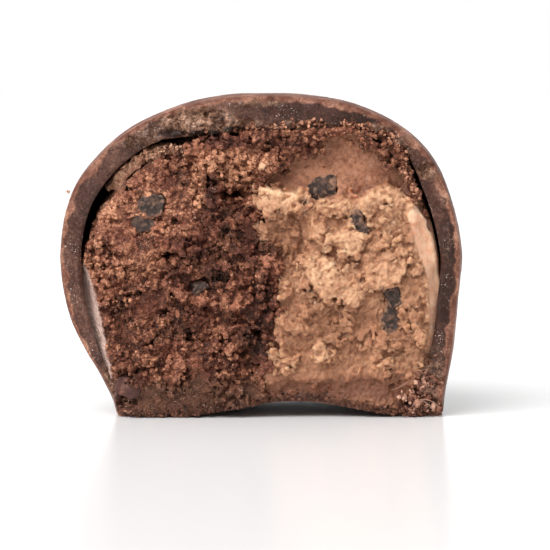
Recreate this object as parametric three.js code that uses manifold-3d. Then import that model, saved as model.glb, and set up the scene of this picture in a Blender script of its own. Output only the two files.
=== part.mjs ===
// A chocolate-covered brownie bite with a bite taken out of its front, in millimetres, +Z up.
// A domed chocolate coating, flat underneath, holds a filling of two halves that run through it from
// front to back: brownie on the left (-X), which also lies over the top, and chocolate-chip cookie dough
// on the right (+X). The bite faces -Y and shows both halves, the broken wall of the coating, the air
// gap where the coating has come away from the filling, and the chips and chunks the teeth laid bare.
import * as THREE from "three";
import { mergeVertices } from "three/addons/utils/BufferGeometryUtils.js";
import Module from "manifold-3d";

const wasm = await Module();
wasm.setup();

// ---- The dome -------------------------------------------------------------------------------------
// Its upright outline from the crown down to the table: at each height, how far the left and the right
// side stand from the dome's own axis. Between the two sides the outline blends as it goes round.
const dome = {
  heights: [32, 31.9, 31.1, 29, 26, 22, 16.5, 11, 7, 4, 1.8, 0],
  left: [0, 3.2, 7.4, 12.5, 16.2, 18.9, 20, 19.4, 17.8, 16, 14.9, 14.4],
  right: [0, 3.9, 9.1, 13.5, 16.8, 18.8, 20, 19.7, 19.3, 18.8, 18.4, 18.2],
};
const sidesRound = 44; // facets round the dome
const stepsUp = 19; // facets from crown to table
const baseRings = [0.35, 0.62, 0.84]; // rings of the underside, as shares of its radius
const unevenness = 0.12; // how far the hand-dipped dome wanders from round

// ---- The coating's wall, and the air between it and the filling -----------------------------------
// Pairs of height and thickness, from the table up.
const wall = {
  left: [[4, 0.6], [5.5, 0.8], [7.5, 1.3], [10, 1.75], [14, 2], [26, 2.05], [29.5, 2.3], [31.2, 3.4]],
  right: [[0, 4.2], [1.5, 3.5], [3, 2.6], [5.5, 1.6], [15, 1.5], [19, 1.75], [23.7, 1.6], [27.3, 0.95],
    [29, 1.15], [30.8, 2.1], [31.8, 3.4]],
};
const air = {
  left: [[14, 0.32], [16.5, 0.5], [18.5, 0.9], [22, 1.1], [23.5, 1.4], [29, 1.5], [30.3, 0.6], [31, 0.35]],
  right: [[12.8, 0.32], [14, 0.5], [17, 0.6], [21, 0.42], [25, 0.6], [28, 0.5], [30, 0.35]],
};
const floors = { outside: 0, cavity: 0.6, filling: 0.9 };
// A thin flake of coating that has peeled off inside the upper left shoulder.
const lip = { air: 0.6, thick: 0.4, from: [-15.4, 23], to: [-10, 27], deep: 5 };

// ---- The bite -------------------------------------------------------------------------------------
const biteFromAxis = 4.5; // the bitten face stands this far in front of the dome's axis
const biteSlant = 0.02; // and falls back towards the right by this much per millimetre
const facePart = { from: [-22, -2], to: [22, 34] };
const faceSteps = { filling: 2.5, coating: 5 }; // grids of the bitten faces
// Lumps and hollows of the torn filling: place on the face, half-width, half-height, how far forward.
const torn = [
  { at: [7.5, 16], reach: [7.5, 6.5], forward: 1.3 }, // the dough bulges where it tore
  { at: [-10, 19], reach: [6, 6], forward: 0.7 }, // so does the brownie, less
  { at: [9, 25], reach: [8, 2.6], forward: -1.2 }, // teeth pressed the top of the dough smooth
  { at: [-2, 9], reach: [4, 5], forward: -1.2 }, // brownie torn away beside the dough
  { at: [0, 1.5], reach: [19, 3], forward: -0.5 }, // lower teeth
];
const roundedRim = { from: 14.8, over: 2.6, back: 1.5 }; // the filling's outer edges curve away
const wallWaves = { length: 9, height: 0.25 }; // the coating's broken edge isn't quite flat

// ---- Underside: a low arch, where the base lifted as it was bitten --------------------------------
const arch = { crest: 3.6, leftFoot: -7.5, rightFoot: 15, front: 1.5, back: 0.4, fadesAt: 12 };

// ---- Where brownie ends and dough begins: the outline of the dough seen from the front ------------
const doughOutline = [
  [0, -6], [0.1, 1.3], [0.3, 4.5], [1.7, 6], [1.3, 8.4], [2.1, 10.8], [2.4, 13.2], [1.3, 16], [0.6, 18.2],
  [0, 20.6], [-0.1, 22.7], [1.3, 23.9], [3.4, 25], [5.2, 26.7], [8, 27.3], [10.8, 27.1], [12.9, 25.9],
  [14.2, 23.6], [15.3, 21], [16.6, 18.7], [19, 17.6], [26, 17], [26, -6],
];
const betweenHalves = 0.32; // air between the two halves

// ---- Chips, chunks and hollows in the torn face: place on it, half-axes, turn in degrees ----------
const inclusions = {
  dough_chip_top: { at: [6.3, 22.3], half: [1.6, 1.1, 0.95], turn: 8, bed: "dough" },
  dough_chip_middle: { at: [9.9, 19.1], half: [0.75, 1, 1.35], turn: -10, bed: "dough" },
  dough_chip_side: { at: [13, 11.8], half: [0.95, 1, 0.9], turn: 0, bed: "dough" },
  dough_chip_low: { at: [12.9, 9], half: [0.9, 1, 1.3], turn: 4, bed: "dough" },
  brownie_chunk_top: { at: [-10.4, 21], half: [1.5, 1.1, 1], turn: 10, bed: "brownie" },
  brownie_chunk_upper: { at: [-11.8, 18.6], half: [1.1, 0.9, 0.8], turn: -20, bed: "brownie" },
  brownie_chunk_middle: { at: [-6.1, 12.8], half: [1.15, 0.9, 0.85], turn: 10, bed: "brownie" },
  coating_flake: { at: [-13.2, 2.6], half: [1.3, 0.7, 0.8], turn: -15, bed: "brownie" },
};
const hollows = [
  { at: [-3, 21.5], half: [1.3, 1.6, 0.85], turn: 8 },
  { at: [-2.6, 18.5], half: [0.6, 1.2, 0.75], turn: -30 },
];
const chipProud = 0.2; // how far a chip stands out of the torn face
const pocketGap = 0.3; // air round a chip in its pocket

const { lerp, smoothstep, mapLinear, clamp, degToRad } = THREE.MathUtils;

// The value of a table of pairs at a height, held level beyond its ends.
function fromTable(table, z) {
  const above = table.findIndex(([height]) => height > z);
  if (above === 0) return table[0][1];
  if (above < 0) return table.at(-1)[1];
  const [low, high] = [table[above - 1], table[above]];
  return mapLinear(z, low[0], high[0], low[1], high[1]);
}

// The dome's outline on one side, from crown to table.
function outline(radii) {
  return new THREE.SplineCurve(dome.heights.map((z, i) => new THREE.Vector2(radii[i], z)));
}
const outlines = { left: outline(dome.left), right: outline(dome.right) };

// How far each layer lies inside the dome's surface, at a height on one side.
const insets = {
  outside: () => 0,
  cavity: (side, z) => fromTable(wall[side], z),
  lipOutside: (side, z) => insets.cavity(side, z) + lip.air,
  lipInside: (side, z) => insets.cavity(side, z) + lip.air + lip.thick,
  filling: (side, z) => insets.cavity(side, z) + fromTable(air[side], z),
};

// The outline of a layer on one side: the dome's, moved in along its normal, standing on its own floor.
function layerOutline(layer, side) {
  const floor = floors[layer] ?? floors.filling;
  const points = [];
  for (let i = 0; i <= stepsUp; i++) {
    const p = outlines[side].getPointAt(i / stepsUp);
    const along = outlines[side].getTangentAt(i / stepsUp);
    const inset = insets[layer](side, clamp(p.y, 0, 32));
    points.push(new THREE.Vector2(Math.max(0, p.x + along.y * inset), p.y - along.x * inset));
  }
  points[0].x = 0;
  const crown = points[0].y;
  const foot = points[stepsUp].y;
  for (const p of points) p.y = mapLinear(p.y, foot, crown, floor, crown);
  return points;
}

// How far the underside is lifted off the table at a place.
function lift(x, y, z) {
  const reach = x < arch.crest ? arch.crest - arch.leftFoot : arch.rightFoot - arch.crest;
  const across = Math.abs(x - arch.crest) / reach;
  if (across >= 1 || z >= arch.fadesAt) return 0;
  const height = mapLinear(y, -biteFromAxis, 20, arch.front, arch.back);
  return height * 0.5 * (1 + Math.cos(Math.PI * across)) * (1 - z / arch.fadesAt);
}

// A closed geometry as a manifold-3d solid.
function solid(geometry) {
  geometry.deleteAttribute("normal");
  geometry.deleteAttribute("uv");
  const merged = mergeVertices(geometry, 1e-4);
  return new wasm.Manifold(
    new wasm.Mesh({
      numProp: 3,
      vertProperties: merged.attributes.position.array,
      triVerts: new Uint32Array(merged.index.array),
    }),
  );
}

// A closed surface from rings of points that run between two end points.
function fromRings(start, rings, end) {
  const n = rings[0].length;
  const points = [start, ...rings.flat(), end];
  const last = points.length - 1;
  const at = (ring, i) => 1 + ring * n + (i % n);
  const faces = [];
  for (let i = 0; i < n; i++) {
    faces.push(0, at(0, i), at(0, i + 1));
    for (let r = 0; r + 1 < rings.length; r++) {
      faces.push(at(r, i), at(r + 1, i), at(r + 1, i + 1));
      faces.push(at(r, i), at(r + 1, i + 1), at(r, i + 1));
    }
    faces.push(last, at(rings.length - 1, i + 1), at(rings.length - 1, i));
  }
  return new THREE.BufferGeometry().setFromPoints(points).setIndex(faces);
}

// The whole, unbitten dome of one layer.
function wholeLayer(layer) {
  const left = layerOutline(layer, "left");
  const right = layerOutline(layer, "right");
  const ringAt = (i, share) => {
    const ring = [];
    for (let k = 0; k < sidesRound; k++) {
      const a = (2 * Math.PI * k) / sidesRound;
      const toRight = (1 + Math.cos(a)) / 2;
      const wander = unevenness * (Math.sin(2 * a + 0.6) + 0.6 * Math.sin(3 * a + 2));
      const plain = share * lerp(left[i].x, right[i].x, toRight);
      const r = plain + wander * Math.min(1, plain / 10);
      const x = r * Math.cos(a);
      const y = r * Math.sin(a);
      const z = lerp(left[i].y, right[i].y, toRight);
      ring.push(new THREE.Vector3(x, y, z + lift(x, y, z)));
    }
    return ring;
  };
  const rings = [];
  for (let i = 1; i <= stepsUp; i++) rings.push(ringAt(i, 1));
  for (const share of baseRings.toReversed()) rings.push(ringAt(stepsUp, share));
  const crown = new THREE.Vector3(0, 0, lerp(left[0].y, right[0].y, 0.5));
  const floor = left[stepsUp].y;
  return solid(fromRings(crown, rings, new THREE.Vector3(0, 0, floor + lift(0, 0, floor))));
}

// How far the torn filling stands forward of the dome's axis at a place on the face.
function tornFace(x, z) {
  let forward = biteFromAxis - biteSlant * x;
  forward -= roundedRim.back * smoothstep(Math.abs(x), roundedRim.from, roundedRim.from + roundedRim.over);
  for (const { at, reach, forward: height } of torn) {
    const d = Math.hypot((x - at[0]) / reach[0], (z - at[1]) / reach[1]);
    forward += height * Math.exp(-1.5 * d * d);
  }
  return forward;
}

// The same for the coating's broken edge.
function brokenFace(x, z) {
  const wave = Math.sin(x / wallWaves.length + 1) * Math.cos(z / wallWaves.length);
  return biteFromAxis - biteSlant * x + wallWaves.height * wave;
}

// Everything in front of a bitten face, as one block to cut away.
function biteBlock(forwardAt, step) {
  const [x0, z0] = facePart.from;
  const [x1, z1] = facePart.to;
  const across = Math.round((x1 - x0) / step);
  const up = Math.round((z1 - z0) / step);
  const back = [];
  for (let j = 0; j <= up; j++)
    for (let i = 0; i <= across; i++) {
      const x = lerp(x0, x1, i / across);
      const z = lerp(z0, z1, j / up);
      back.push(new THREE.Vector3(x, -forwardAt(x, z), z));
    }
  const front = back.map((p) => new THREE.Vector3(p.x, -30, p.z));
  const faces = [];
  const row = across + 1;
  const count = back.length;
  const quad = (a, b, c, d) => faces.push(a, b, c, a, c, d);
  for (let j = 0; j < up; j++)
    for (let i = 0; i < across; i++) {
      const a = j * row + i;
      quad(a, a + row, a + row + 1, a + 1);
      quad(count + a, count + a + 1, count + a + row + 1, count + a + row);
    }
  const side = (a, b) => quad(a, b, count + b, count + a);
  for (let i = 0; i < across; i++) {
    side(i, i + 1);
    side(up * row + i + 1, up * row + i);
  }
  for (let j = 0; j < up; j++) {
    side((j + 1) * row, j * row);
    side(j * row + across, (j + 1) * row + across);
  }
  return solid(new THREE.BufferGeometry().setFromPoints([...back, ...front]).setIndex(faces));
}

// An upright slab through the dome from an outline seen from the front, moved in by a margin.
function slab(curve, steps, margin) {
  const points = [];
  for (let i = 0; i <= steps; i++) {
    const p = curve.getPoint(i / steps);
    const along = curve.getTangent(i / steps);
    points.push(new THREE.Vector2(p.x - along.y * margin, p.y + along.x * margin));
  }
  const through = new THREE.ExtrudeGeometry(new THREE.Shape(points), { depth: 60, bevelEnabled: false });
  through.rotateX(Math.PI / 2);
  through.translate(0, 30, 0);
  return solid(through);
}

// A chip, chunk or hollow as an uneven lump at its place on the torn face, grown by a margin.
function lump({ at, half, turn }, margin) {
  const g = new THREE.IcosahedronGeometry(1, 2);
  const p = g.getAttribute("position");
  for (let i = 0; i < p.count; i++) {
    const v = new THREE.Vector3().fromBufferAttribute(p, i);
    v.multiplyScalar(1 + 0.12 * Math.sin(2.4 * v.x + 1.7 * v.z + at[0]) * Math.cos(2.1 * v.y - v.z));
    p.setXYZ(i, v.x * (half[0] + margin), v.y * (half[1] + margin), v.z * (half[2] + margin));
  }
  g.rotateY(-degToRad(turn));
  g.translate(at[0], -tornFace(...at) + 0.5 * half[1], at[1]);
  return solid(g);
}

// ---- Putting it together --------------------------------------------------------------------------
const wholeFilling = wholeLayer("filling");
let filling = wholeFilling.subtract(biteBlock(tornFace, faceSteps.filling));
for (const hollow of hollows) filling = filling.subtract(lump(hollow, 0));

const doughCurve = new THREE.SplineCurve(doughOutline.map((p) => new THREE.Vector2(...p)));
const doughSteps = 2 * doughOutline.length;
const beds = {
  brownie: filling.subtract(slab(doughCurve, doughSteps, betweenHalves)),
  dough: filling.intersect(slab(doughCurve, doughSteps, 0)),
};

const coatingBite = biteBlock(brokenFace, faceSteps.coating);
const solids = {
  coating: wholeLayer("outside").subtract(wholeLayer("cavity")).subtract(coatingBite),
};

const [lipX, lipZ] = [0, 1].map((k) => [lip.from[k], lip.to[k]]);
const lipPart = new THREE.BoxGeometry(lipX[1] - lipX[0], lip.deep, lipZ[1] - lipZ[0]);
lipPart.translate((lipX[0] + lipX[1]) / 2, lip.deep / 2 - biteFromAxis, (lipZ[0] + lipZ[1]) / 2);
solids.coating_lip = wholeLayer("lipOutside").subtract(wholeLayer("lipInside")).intersect(solid(lipPart));

const chipBite = biteBlock((x, z) => tornFace(x, z) + chipProud, faceSteps.filling);
for (const [name, chip] of Object.entries(inclusions)) {
  solids[name] = lump(chip, 0).intersect(wholeFilling).subtract(chipBite);
  beds[chip.bed] = beds[chip.bed].subtract(lump(chip, pocketGap));
}
solids.brownie = beds.brownie;
solids.cookie_dough = beds.dough;

const looks = {
  coating: new THREE.MeshStandardMaterial({ color: 0x4a2a20, roughness: 0.4, metalness: 0 }),
  brownie: new THREE.MeshStandardMaterial({ color: 0x5a3526, roughness: 0.9, metalness: 0 }),
  cookie_dough: new THREE.MeshStandardMaterial({ color: 0xb4835f, roughness: 0.75, metalness: 0 }),
  chip: new THREE.MeshStandardMaterial({ color: 0x35241f, roughness: 0.5, metalness: 0 }),
};

const bite = new THREE.Group();
for (const [name, made] of Object.entries(solids)) {
  const { vertProperties, triVerts } = made.getMesh();
  const geometry = new THREE.BufferGeometry()
    .setAttribute("position", new THREE.BufferAttribute(vertProperties, 3))
    .setIndex(new THREE.BufferAttribute(triVerts, 1));
  geometry.computeVertexNormals();
  const look = name.startsWith("coating") ? looks.coating : (looks[name] ?? looks.chip);
  const mesh = new THREE.Mesh(geometry, look);
  mesh.name = name;
  bite.add(mesh);
}

// The origin is under the middle of the whole piece, on the table.
const box = new THREE.Box3().setFromObject(bite);
const middle = box.getCenter(new THREE.Vector3());
bite.position.set(-middle.x, -middle.y, -box.min.z);

export default bite;
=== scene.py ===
# The looks of a chocolate-covered brownie and cookie dough bite, in metres, +Z up, bitten face towards -Y.
# Shapes are worked out in millimetres about the dome's own axis and scaled as each mesh is made.
import math
from itertools import product
import bpy
import numpy as np
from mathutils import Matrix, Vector


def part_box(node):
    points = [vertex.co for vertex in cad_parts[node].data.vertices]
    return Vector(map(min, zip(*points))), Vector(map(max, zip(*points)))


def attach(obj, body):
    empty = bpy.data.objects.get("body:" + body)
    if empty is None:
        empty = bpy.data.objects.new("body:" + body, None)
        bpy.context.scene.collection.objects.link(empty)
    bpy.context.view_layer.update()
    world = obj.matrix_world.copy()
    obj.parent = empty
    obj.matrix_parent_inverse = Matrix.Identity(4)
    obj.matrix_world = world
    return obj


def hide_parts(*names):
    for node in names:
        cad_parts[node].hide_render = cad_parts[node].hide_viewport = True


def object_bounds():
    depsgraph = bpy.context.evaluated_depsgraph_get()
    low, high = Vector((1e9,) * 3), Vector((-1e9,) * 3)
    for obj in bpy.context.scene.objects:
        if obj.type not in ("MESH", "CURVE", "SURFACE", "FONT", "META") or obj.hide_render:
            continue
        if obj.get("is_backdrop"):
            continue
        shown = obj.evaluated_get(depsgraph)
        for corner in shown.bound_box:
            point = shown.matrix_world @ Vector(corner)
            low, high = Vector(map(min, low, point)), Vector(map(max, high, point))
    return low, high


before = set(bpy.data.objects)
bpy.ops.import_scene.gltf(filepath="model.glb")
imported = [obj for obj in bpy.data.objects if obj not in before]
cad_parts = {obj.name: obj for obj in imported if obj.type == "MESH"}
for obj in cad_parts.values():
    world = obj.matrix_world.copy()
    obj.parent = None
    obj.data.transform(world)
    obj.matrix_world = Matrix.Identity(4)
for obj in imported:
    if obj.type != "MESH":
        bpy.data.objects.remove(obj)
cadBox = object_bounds()
mm = 0.001

studio = {
    "elevation": 4.0,        # degrees above the table
    "distance": 0.36,        # from the camera to the bite
    "viewWidth": 0.0541,     # width of table seen at the bite
    "aimAcross": 0.0014,     # and this far right of its middle
    "aimHeight": 0.0142,     # height that stays in the middle of the picture
    "sunPower": 3.7, "sunSpread": 50.0, "sunFrom": (-0.5, -0.64, 0.82),
    "frontPower": 0.1, "frontPlace": (-0.06, -0.34, 0.14), "frontSize": 0.2, "frontAim": (0, 0, 0.012),
    # light from all round: at the horizon, overhead, and low down behind the camera
    "horizonLight": 1.0, "skyLight": 0.7, "behindCamera": 0.3,
    "floorHalf": 1.5, "floorShade": 0.9,
}


def addObject(name, data):
    made = bpy.data.objects.new(name, data)
    bpy.context.scene.collection.objects.link(made)
    return made


# Fills a node's inputs, each with a plain value or from another node's output.
def fillInputs(tree, node, inputs):
    for key, value in inputs.items():
        if isinstance(value, bpy.types.NodeSocket):
            tree.links.new(value, node.inputs[key])
        else:
            node.inputs[key].default_value = value


def addNode(tree, kind, inputs=None, **settings):
    node = tree.nodes.new(kind)
    for key, value in settings.items():
        setattr(node, key, value)
    fillInputs(tree, node, inputs or {})
    return node


def newMaterial(name):
    mat = bpy.data.materials.new(name)
    mat.use_nodes = True
    return mat, mat.node_tree.nodes["Principled BSDF"]


def lookAlong(thing, way):
    thing.rotation_euler = way.to_track_quat("-Z", "Y").to_euler()


def setCamera():
    camData = bpy.data.cameras.new("camera")
    camData.sensor_width = 36
    camData.lens = camData.sensor_width * studio["distance"] / studio["viewWidth"]
    camData.clip_start, camData.clip_end = 0.01, 20
    cam = addObject("camera", camData)
    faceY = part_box("brownie")[0][1]
    aim = Vector((studio["aimAcross"], faceY, studio["aimHeight"]))
    el = math.radians(studio["elevation"])
    cam.location = aim + studio["distance"] * Vector((0, -math.cos(el), math.sin(el)))
    lookAlong(cam, aim - cam.location)
    bpy.context.scene.camera = cam


def setWorld():
    world = bpy.data.worlds.new("studio")
    bpy.context.scene.world = world
    world.use_nodes = True
    tree = world.node_tree

    def fade(value, low, high, toLow, toHigh):
        limits = {"From Min": low, "From Max": high, "To Min": toLow, "To Max": toHigh}
        return addNode(tree, "ShaderNodeMapRange", {"Value": value, **limits}).outputs["Result"]
    way = addNode(tree, "ShaderNodeTexCoord").outputs["Generated"]
    parts = addNode(tree, "ShaderNodeSeparateXYZ", {"Vector": way}).outputs
    upwards = fade(parts["Z"], 0.1, 0.35, studio["horizonLight"], studio["skyLight"])
    backwards = fade(parts["Y"], -0.85, -0.25, studio["behindCamera"], 1.0)
    strength = addNode(tree, "ShaderNodeMath", {0: upwards, 1: backwards}, operation="MULTIPLY")
    fillInputs(tree, tree.nodes["Background"], {"Color": (1, 1, 1, 1), "Strength": strength.outputs["Value"]})
    bpy.context.scene.view_settings.view_transform = "Standard"


def setLights():
    sun = bpy.data.lights.new("softSun", "SUN")
    sun.energy = studio["sunPower"]
    sun.angle = math.radians(studio["sunSpread"])
    lamp = addObject("softSun", sun)
    lamp.rotation_euler = Vector(studio["sunFrom"]).to_track_quat("Z", "Y").to_euler()
    front = bpy.data.lights.new("frontLight", "AREA")
    front.energy = studio["frontPower"]
    front.shape = "RECTANGLE"
    front.size = front.size_y = studio["frontSize"]
    lamp = addObject("frontLight", front)
    lamp.visible_camera = False
    lamp.location = studio["frontPlace"]
    lookAlong(lamp, Vector(studio["frontAim"]) - Vector(studio["frontPlace"]))


def setFloor():
    half = studio["floorHalf"]
    mesh = bpy.data.meshes.new("floor")
    mesh.from_pydata([(-half, -half, 0), (half, -half, 0), (half, half, 0), (-half, half, 0)], [], [(0, 1, 2, 3)])
    mat, bsdf = newMaterial("floorWhite")
    fillInputs(mat.node_tree, bsdf, {"Base Color": (studio["floorShade"],) * 3 + (1,), "Roughness": 0.2,
                                     "Specular IOR Level": 0.18})
    mesh.materials.append(mat)
    addObject("floor", mesh)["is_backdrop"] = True


setCamera()
setWorld()
setLights()
setFloor()
print("studio set")

# The dome, its wall and the air inside the wall, in millimetres about the dome's axis.
dome = {
    "heights": (32, 31.9, 31.1, 29, 26, 22, 16.5, 11, 7, 4, 1.8, 0),
    "left": (0, 3.2, 7.4, 12.5, 16.2, 18.9, 20, 19.4, 17.8, 16, 14.9, 14.4),
    "right": (0, 3.9, 9.1, 13.5, 16.8, 18.8, 20, 19.7, 19.3, 18.8, 18.4, 18.2),
    "unevenness": 0.12,
    "swells": ((2, 0.6, 1.0), (3, 2, 0.6)),    # how many round the dome, where they start, how strong
    "swellsFullAt": 10,      # from the axis
    "biteFromAxis": 4.5,
    "biteSlant": 0.02,
    "axisX": -0.065,         # from the middle of the bounding box
    "backRadius": 19.96,     # from the axis to the back of the dome
    # the arch under the base: its crest and feet, and how high it is at the bite and at the back
    "arch": {"crest": 3.6, "leftFoot": -8.5, "rightFoot": 15, "front": 1.6, "back": 0.05, "backAt": 20,
             "fadesAt": 12},
}
# pairs of height and thickness, and of height and width
wallThickness = {
    "left": ((4, 0.6), (5.5, 0.8), (7.5, 1.3), (10, 1.75), (14, 2), (26, 2.05), (29.5, 2.3), (31.2, 3.4)),
    "right": ((0, 4.2), (1.5, 3.5), (3, 2.6), (5.5, 1.95), (9, 1.85), (15, 1.8), (19, 1.9), (23.7, 1.95), (26, 1.6),
              (27.6, 0.95), (29, 1.15), (30.8, 2.1), (31.8, 3.4)),
}
airWidth = {
    "left": ((14, 0.05), (16.5, 0.4), (18.5, 0.9), (22, 1.1), (23.5, 1.4), (29, 1.5), (30.2, 0.5), (31, 0.1)),
    "right": ((12.8, 0.05), (14, 0.45), (17, 0.62), (21, 0.7), (25, 0.9), (26.6, 0.7), (27.8, 0.2), (29, 0.1)),
}
axisPlace = np.array(Vector((dome["axisX"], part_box("coating")[1][1] / mm - dome["backRadius"], 0)))


def smoothStep(value, low, high):
    t = np.clip((value - low) / (high - low), 0, 1)
    return t * t * (3 - 2 * t)


def splinePoints(places, perStep=40):
    p = np.array(places, float)
    t = np.linspace(0, 1, perStep, endpoint=False)[:, None]
    runs = []
    for i in range(len(p) - 1):
        before, here, there, after = p[max(i - 1, 0)], p[i], p[i + 1], p[min(i + 2, len(p) - 1)]
        runs.append(0.5 * (2 * here + (there - before) * t + (2 * before - 5 * here + 4 * there - after) * t**2
                           + (3 * here - before - 3 * there + after) * t**3))
    runs.append(p[-1:])
    return np.vstack(runs)


# The grid of radii and heights that each side of the dome is worked out on.
sideGrid = {"step": 0.2, "radii": np.arange(0, 27, 0.2), "heights": np.arange(-5, 38, 0.2), "below": (-0.6, -6.0)}


# For one side of the dome: signed distance to its outline, the wall and the air, at each radius and height.
def sideTables(side):
    curve = splinePoints(list(zip(dome[side], dome["heights"])), 60)
    below = np.linspace(0, 1, 60)[1:, None] * np.array([sideGrid["below"]]) + curve[-1]
    curve = np.vstack([curve, below])
    r, z = np.meshgrid(sideGrid["radii"], sideGrid["heights"], indexing="ij")
    away = (r[..., None] - curve[:, 0]) ** 2 + (z[..., None] - curve[:, 1]) ** 2
    nearest = away.argmin(axis=-1)
    distance = np.sqrt(away.min(axis=-1))
    inside = r < np.interp(z, curve[::-1, 1], curve[::-1, 0], right=-1)
    height = curve[nearest, 1]
    wall = np.interp(height, *zip(*wallThickness[side]))
    air = np.interp(height, *zip(*airWidth[side]))
    return np.stack([np.where(inside, -distance, distance), wall, air])


sides = {side: sideTables(side) for side in ("left", "right")}


def archLift(x, y):
    arch = dome["arch"]
    bite = dome["biteFromAxis"]
    reach = np.where(x < arch["crest"], arch["crest"] - arch["leftFoot"], arch["rightFoot"] - arch["crest"])
    across = np.minimum(np.abs(x - arch["crest"]) / reach, 1)
    height = arch["front"] + (arch["back"] - arch["front"]) * (y + bite) / (arch["backAt"] + bite)
    return height * 0.5 * (1 + np.cos(np.pi * across))


# Height above the arched underside, as it was before the base lifted.
def levelHeight(x, y, z):
    lift = archLift(x, y)
    fades = dome["arch"]["fadesAt"]
    return np.where(z < fades, (z - lift) / (1 - lift / fades), z)


# Signed distance to the dome, its wall thickness and the air inside the wall, anywhere.
def domeFields(x, y, z):
    angle = np.arctan2(y, x)
    toRight = (1 + np.cos(angle)) / 2
    swell = dome["unevenness"] * sum(much * np.sin(times * angle + start) for times, start, much in dome["swells"])
    r = np.hypot(x, y)
    r = r - swell * np.minimum(1, r / dome["swellsFullAt"])
    step, radii, heights = sideGrid["step"], sideGrid["radii"], sideGrid["heights"]
    u = np.clip(r / step, 0, len(radii) - 1.001)
    v = np.clip((levelHeight(x, y, z) - heights[0]) / step, 0, len(heights) - 1.001)
    i, j = u.astype(int), v.astype(int)
    f, g = u - i, v - j
    fields = 0
    for side, share in (("left", 1 - toRight), ("right", toRight)):
        t = sides[side]
        fields = fields + share * ((1 - f) * (1 - g) * t[:, i, j] + f * (1 - g) * t[:, i + 1, j]
                                   + (1 - f) * g * t[:, i, j + 1] + f * g * t[:, i + 1, j + 1])
    return fields


# The axes of a grid: even steps across, up and near the face, then growing ones towards the back.
def gridAxes(low, high, step, fineDepth, growth=1.45, coarsest=1.4):
    x = np.arange(low[0], high[0] + step, step)
    z = np.arange(low[2], high[2] + step, step)
    y = list(np.arange(low[1], low[1] + fineDepth, step))
    gap = step
    while y[-1] < high[1]:
        gap = min(gap * growth, coarsest)
        y.append(y[-1] + gap)
    return [x.astype(np.float32), np.array(y, np.float32), z.astype(np.float32)]


# A smooth cubic's shares of the four knots around places that lie f of the way between two of them.
def cubicShares(f):
    return (1 - f) ** 3 / 6, (3 * f**3 - 6 * f**2 + 4) / 6, (-3 * f**3 + 3 * f**2 + 3 * f + 1) / 6, f**3 / 6


# Weights that carry values from knots to finer places: straight between knots, or a smooth cubic.
def knotWeights(places, start, spacing, count, cubic):
    u = (places - start) / spacing
    i = np.floor(u).astype(int)
    f = u - i
    weights = np.zeros((len(places), count), np.float32)
    rows = np.arange(len(places))
    first = i - 1 if cubic else i
    for k, part in enumerate(cubicShares(f) if cubic else (1 - f, f)):
        weights[rows, first + k] += part
    return weights


def spread(values, axes, starts, spacing, cubic):
    for axis, start, space in zip(axes, starts, spacing):
        w = knotWeights(axis, start, space, values.shape[0], cubic)
        values = np.tensordot(values, w, axes=(0, 1))
    return values


# Smooth knots lose strength along each axis, which these numbers give back.
cloudGain = {"perAxis": 1.7, "overAll": 1.9, "onFace": 1.5}


# A cloudy random field with lumps of about the given size, spread evenly about nought.
def cloud(axes, size, seed):
    rng = np.random.default_rng(seed)
    starts = [a[0] - 2 * size for a in axes]
    counts = [int((a[-1] - a[0]) / size) + 6 for a in axes]
    knots = rng.standard_normal(counts).astype(np.float32)
    spacing = (size,) * len(axes)
    return spread(knots, axes, starts, spacing, True) * cloudGain["perAxis"] ** len(axes) / cloudGain["overAll"]


# The same kind of cloud at loose points.
def cloudAt(points, size, seed):
    rng = np.random.default_rng(seed)
    low = points.min(axis=0) - 2 * size
    counts = ((points.max(axis=0) - low) / size).astype(int) + 5
    knots = rng.standard_normal(counts)
    u = (points - low) / size
    i = np.floor(u).astype(int)
    parts = np.stack(cubicShares(u - i))
    total = np.zeros(len(points))
    for a, b, c in product(range(4), repeat=3):
        w = parts[a, :, 0] * parts[b, :, 1] * parts[c, :, 2]
        total += w * knots[i[:, 0] - 1 + a, i[:, 1] - 1 + b, i[:, 2] - 1 + c]
    return total * cloudGain["perAxis"]**3 / cloudGain["overAll"]


# Clouds of several sizes added up, each given as its size and strength, with seeds that follow one another.
def clouds(axes, sizes, seed, kind=cloud):
    return sum(much * kind(axes, size, seed + n) for n, (size, much) in enumerate(sizes))


def cloudsAt(points, sizes, seed):
    return clouds(points, sizes, seed, cloudAt)


# Packed grains at loose points: how far the nearest grain's middle is, as a share of the grain size, a random
# shade for each grain, and how high each point lies on that grain's own leaning side.
def grainsAt(points, size, seed, tableSize=4096, mixers=(73856093, 19349663, 83492791)):
    table = np.random.default_rng(seed).random((tableSize, 7))
    cell = np.floor(points / size).astype(np.int64)
    nearest = np.full(len(points), 9.0)
    shade, lean = np.zeros(len(points)), np.zeros(len(points))
    for step in product((-1, 0, 1), repeat=3):
        here = cell + step
        key = np.bitwise_xor.reduce(here * mixers, axis=1) % tableSize
        offset = here + table[key, :3] - points / size
        away = np.linalg.norm(offset, axis=1)
        closer = away < nearest
        nearest[closer] = away[closer]
        shade[closer] = table[key[closer], 3]
        lean[closer] = (offset[closer] * (2 * table[key[closer], 4:] - 1)).sum(axis=1)
    return nearest, shade, lean


# Where clouds over the bitten face begin, across and up, and how wide they are.
faceSpan = {"from": (-26, -10), "wide": 52}


# A cloud over the bitten face that is the same whichever grid asks for it.
def faceCloud(axes, size, seed):
    count = int(faceSpan["wide"] / size) + 8
    knots = np.random.default_rng(seed).standard_normal((count, count)).astype(np.float32)
    return spread(knots, [axes[0], axes[2]], faceSpan["from"], (size, size), True) * cloudGain["onFace"]


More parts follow.
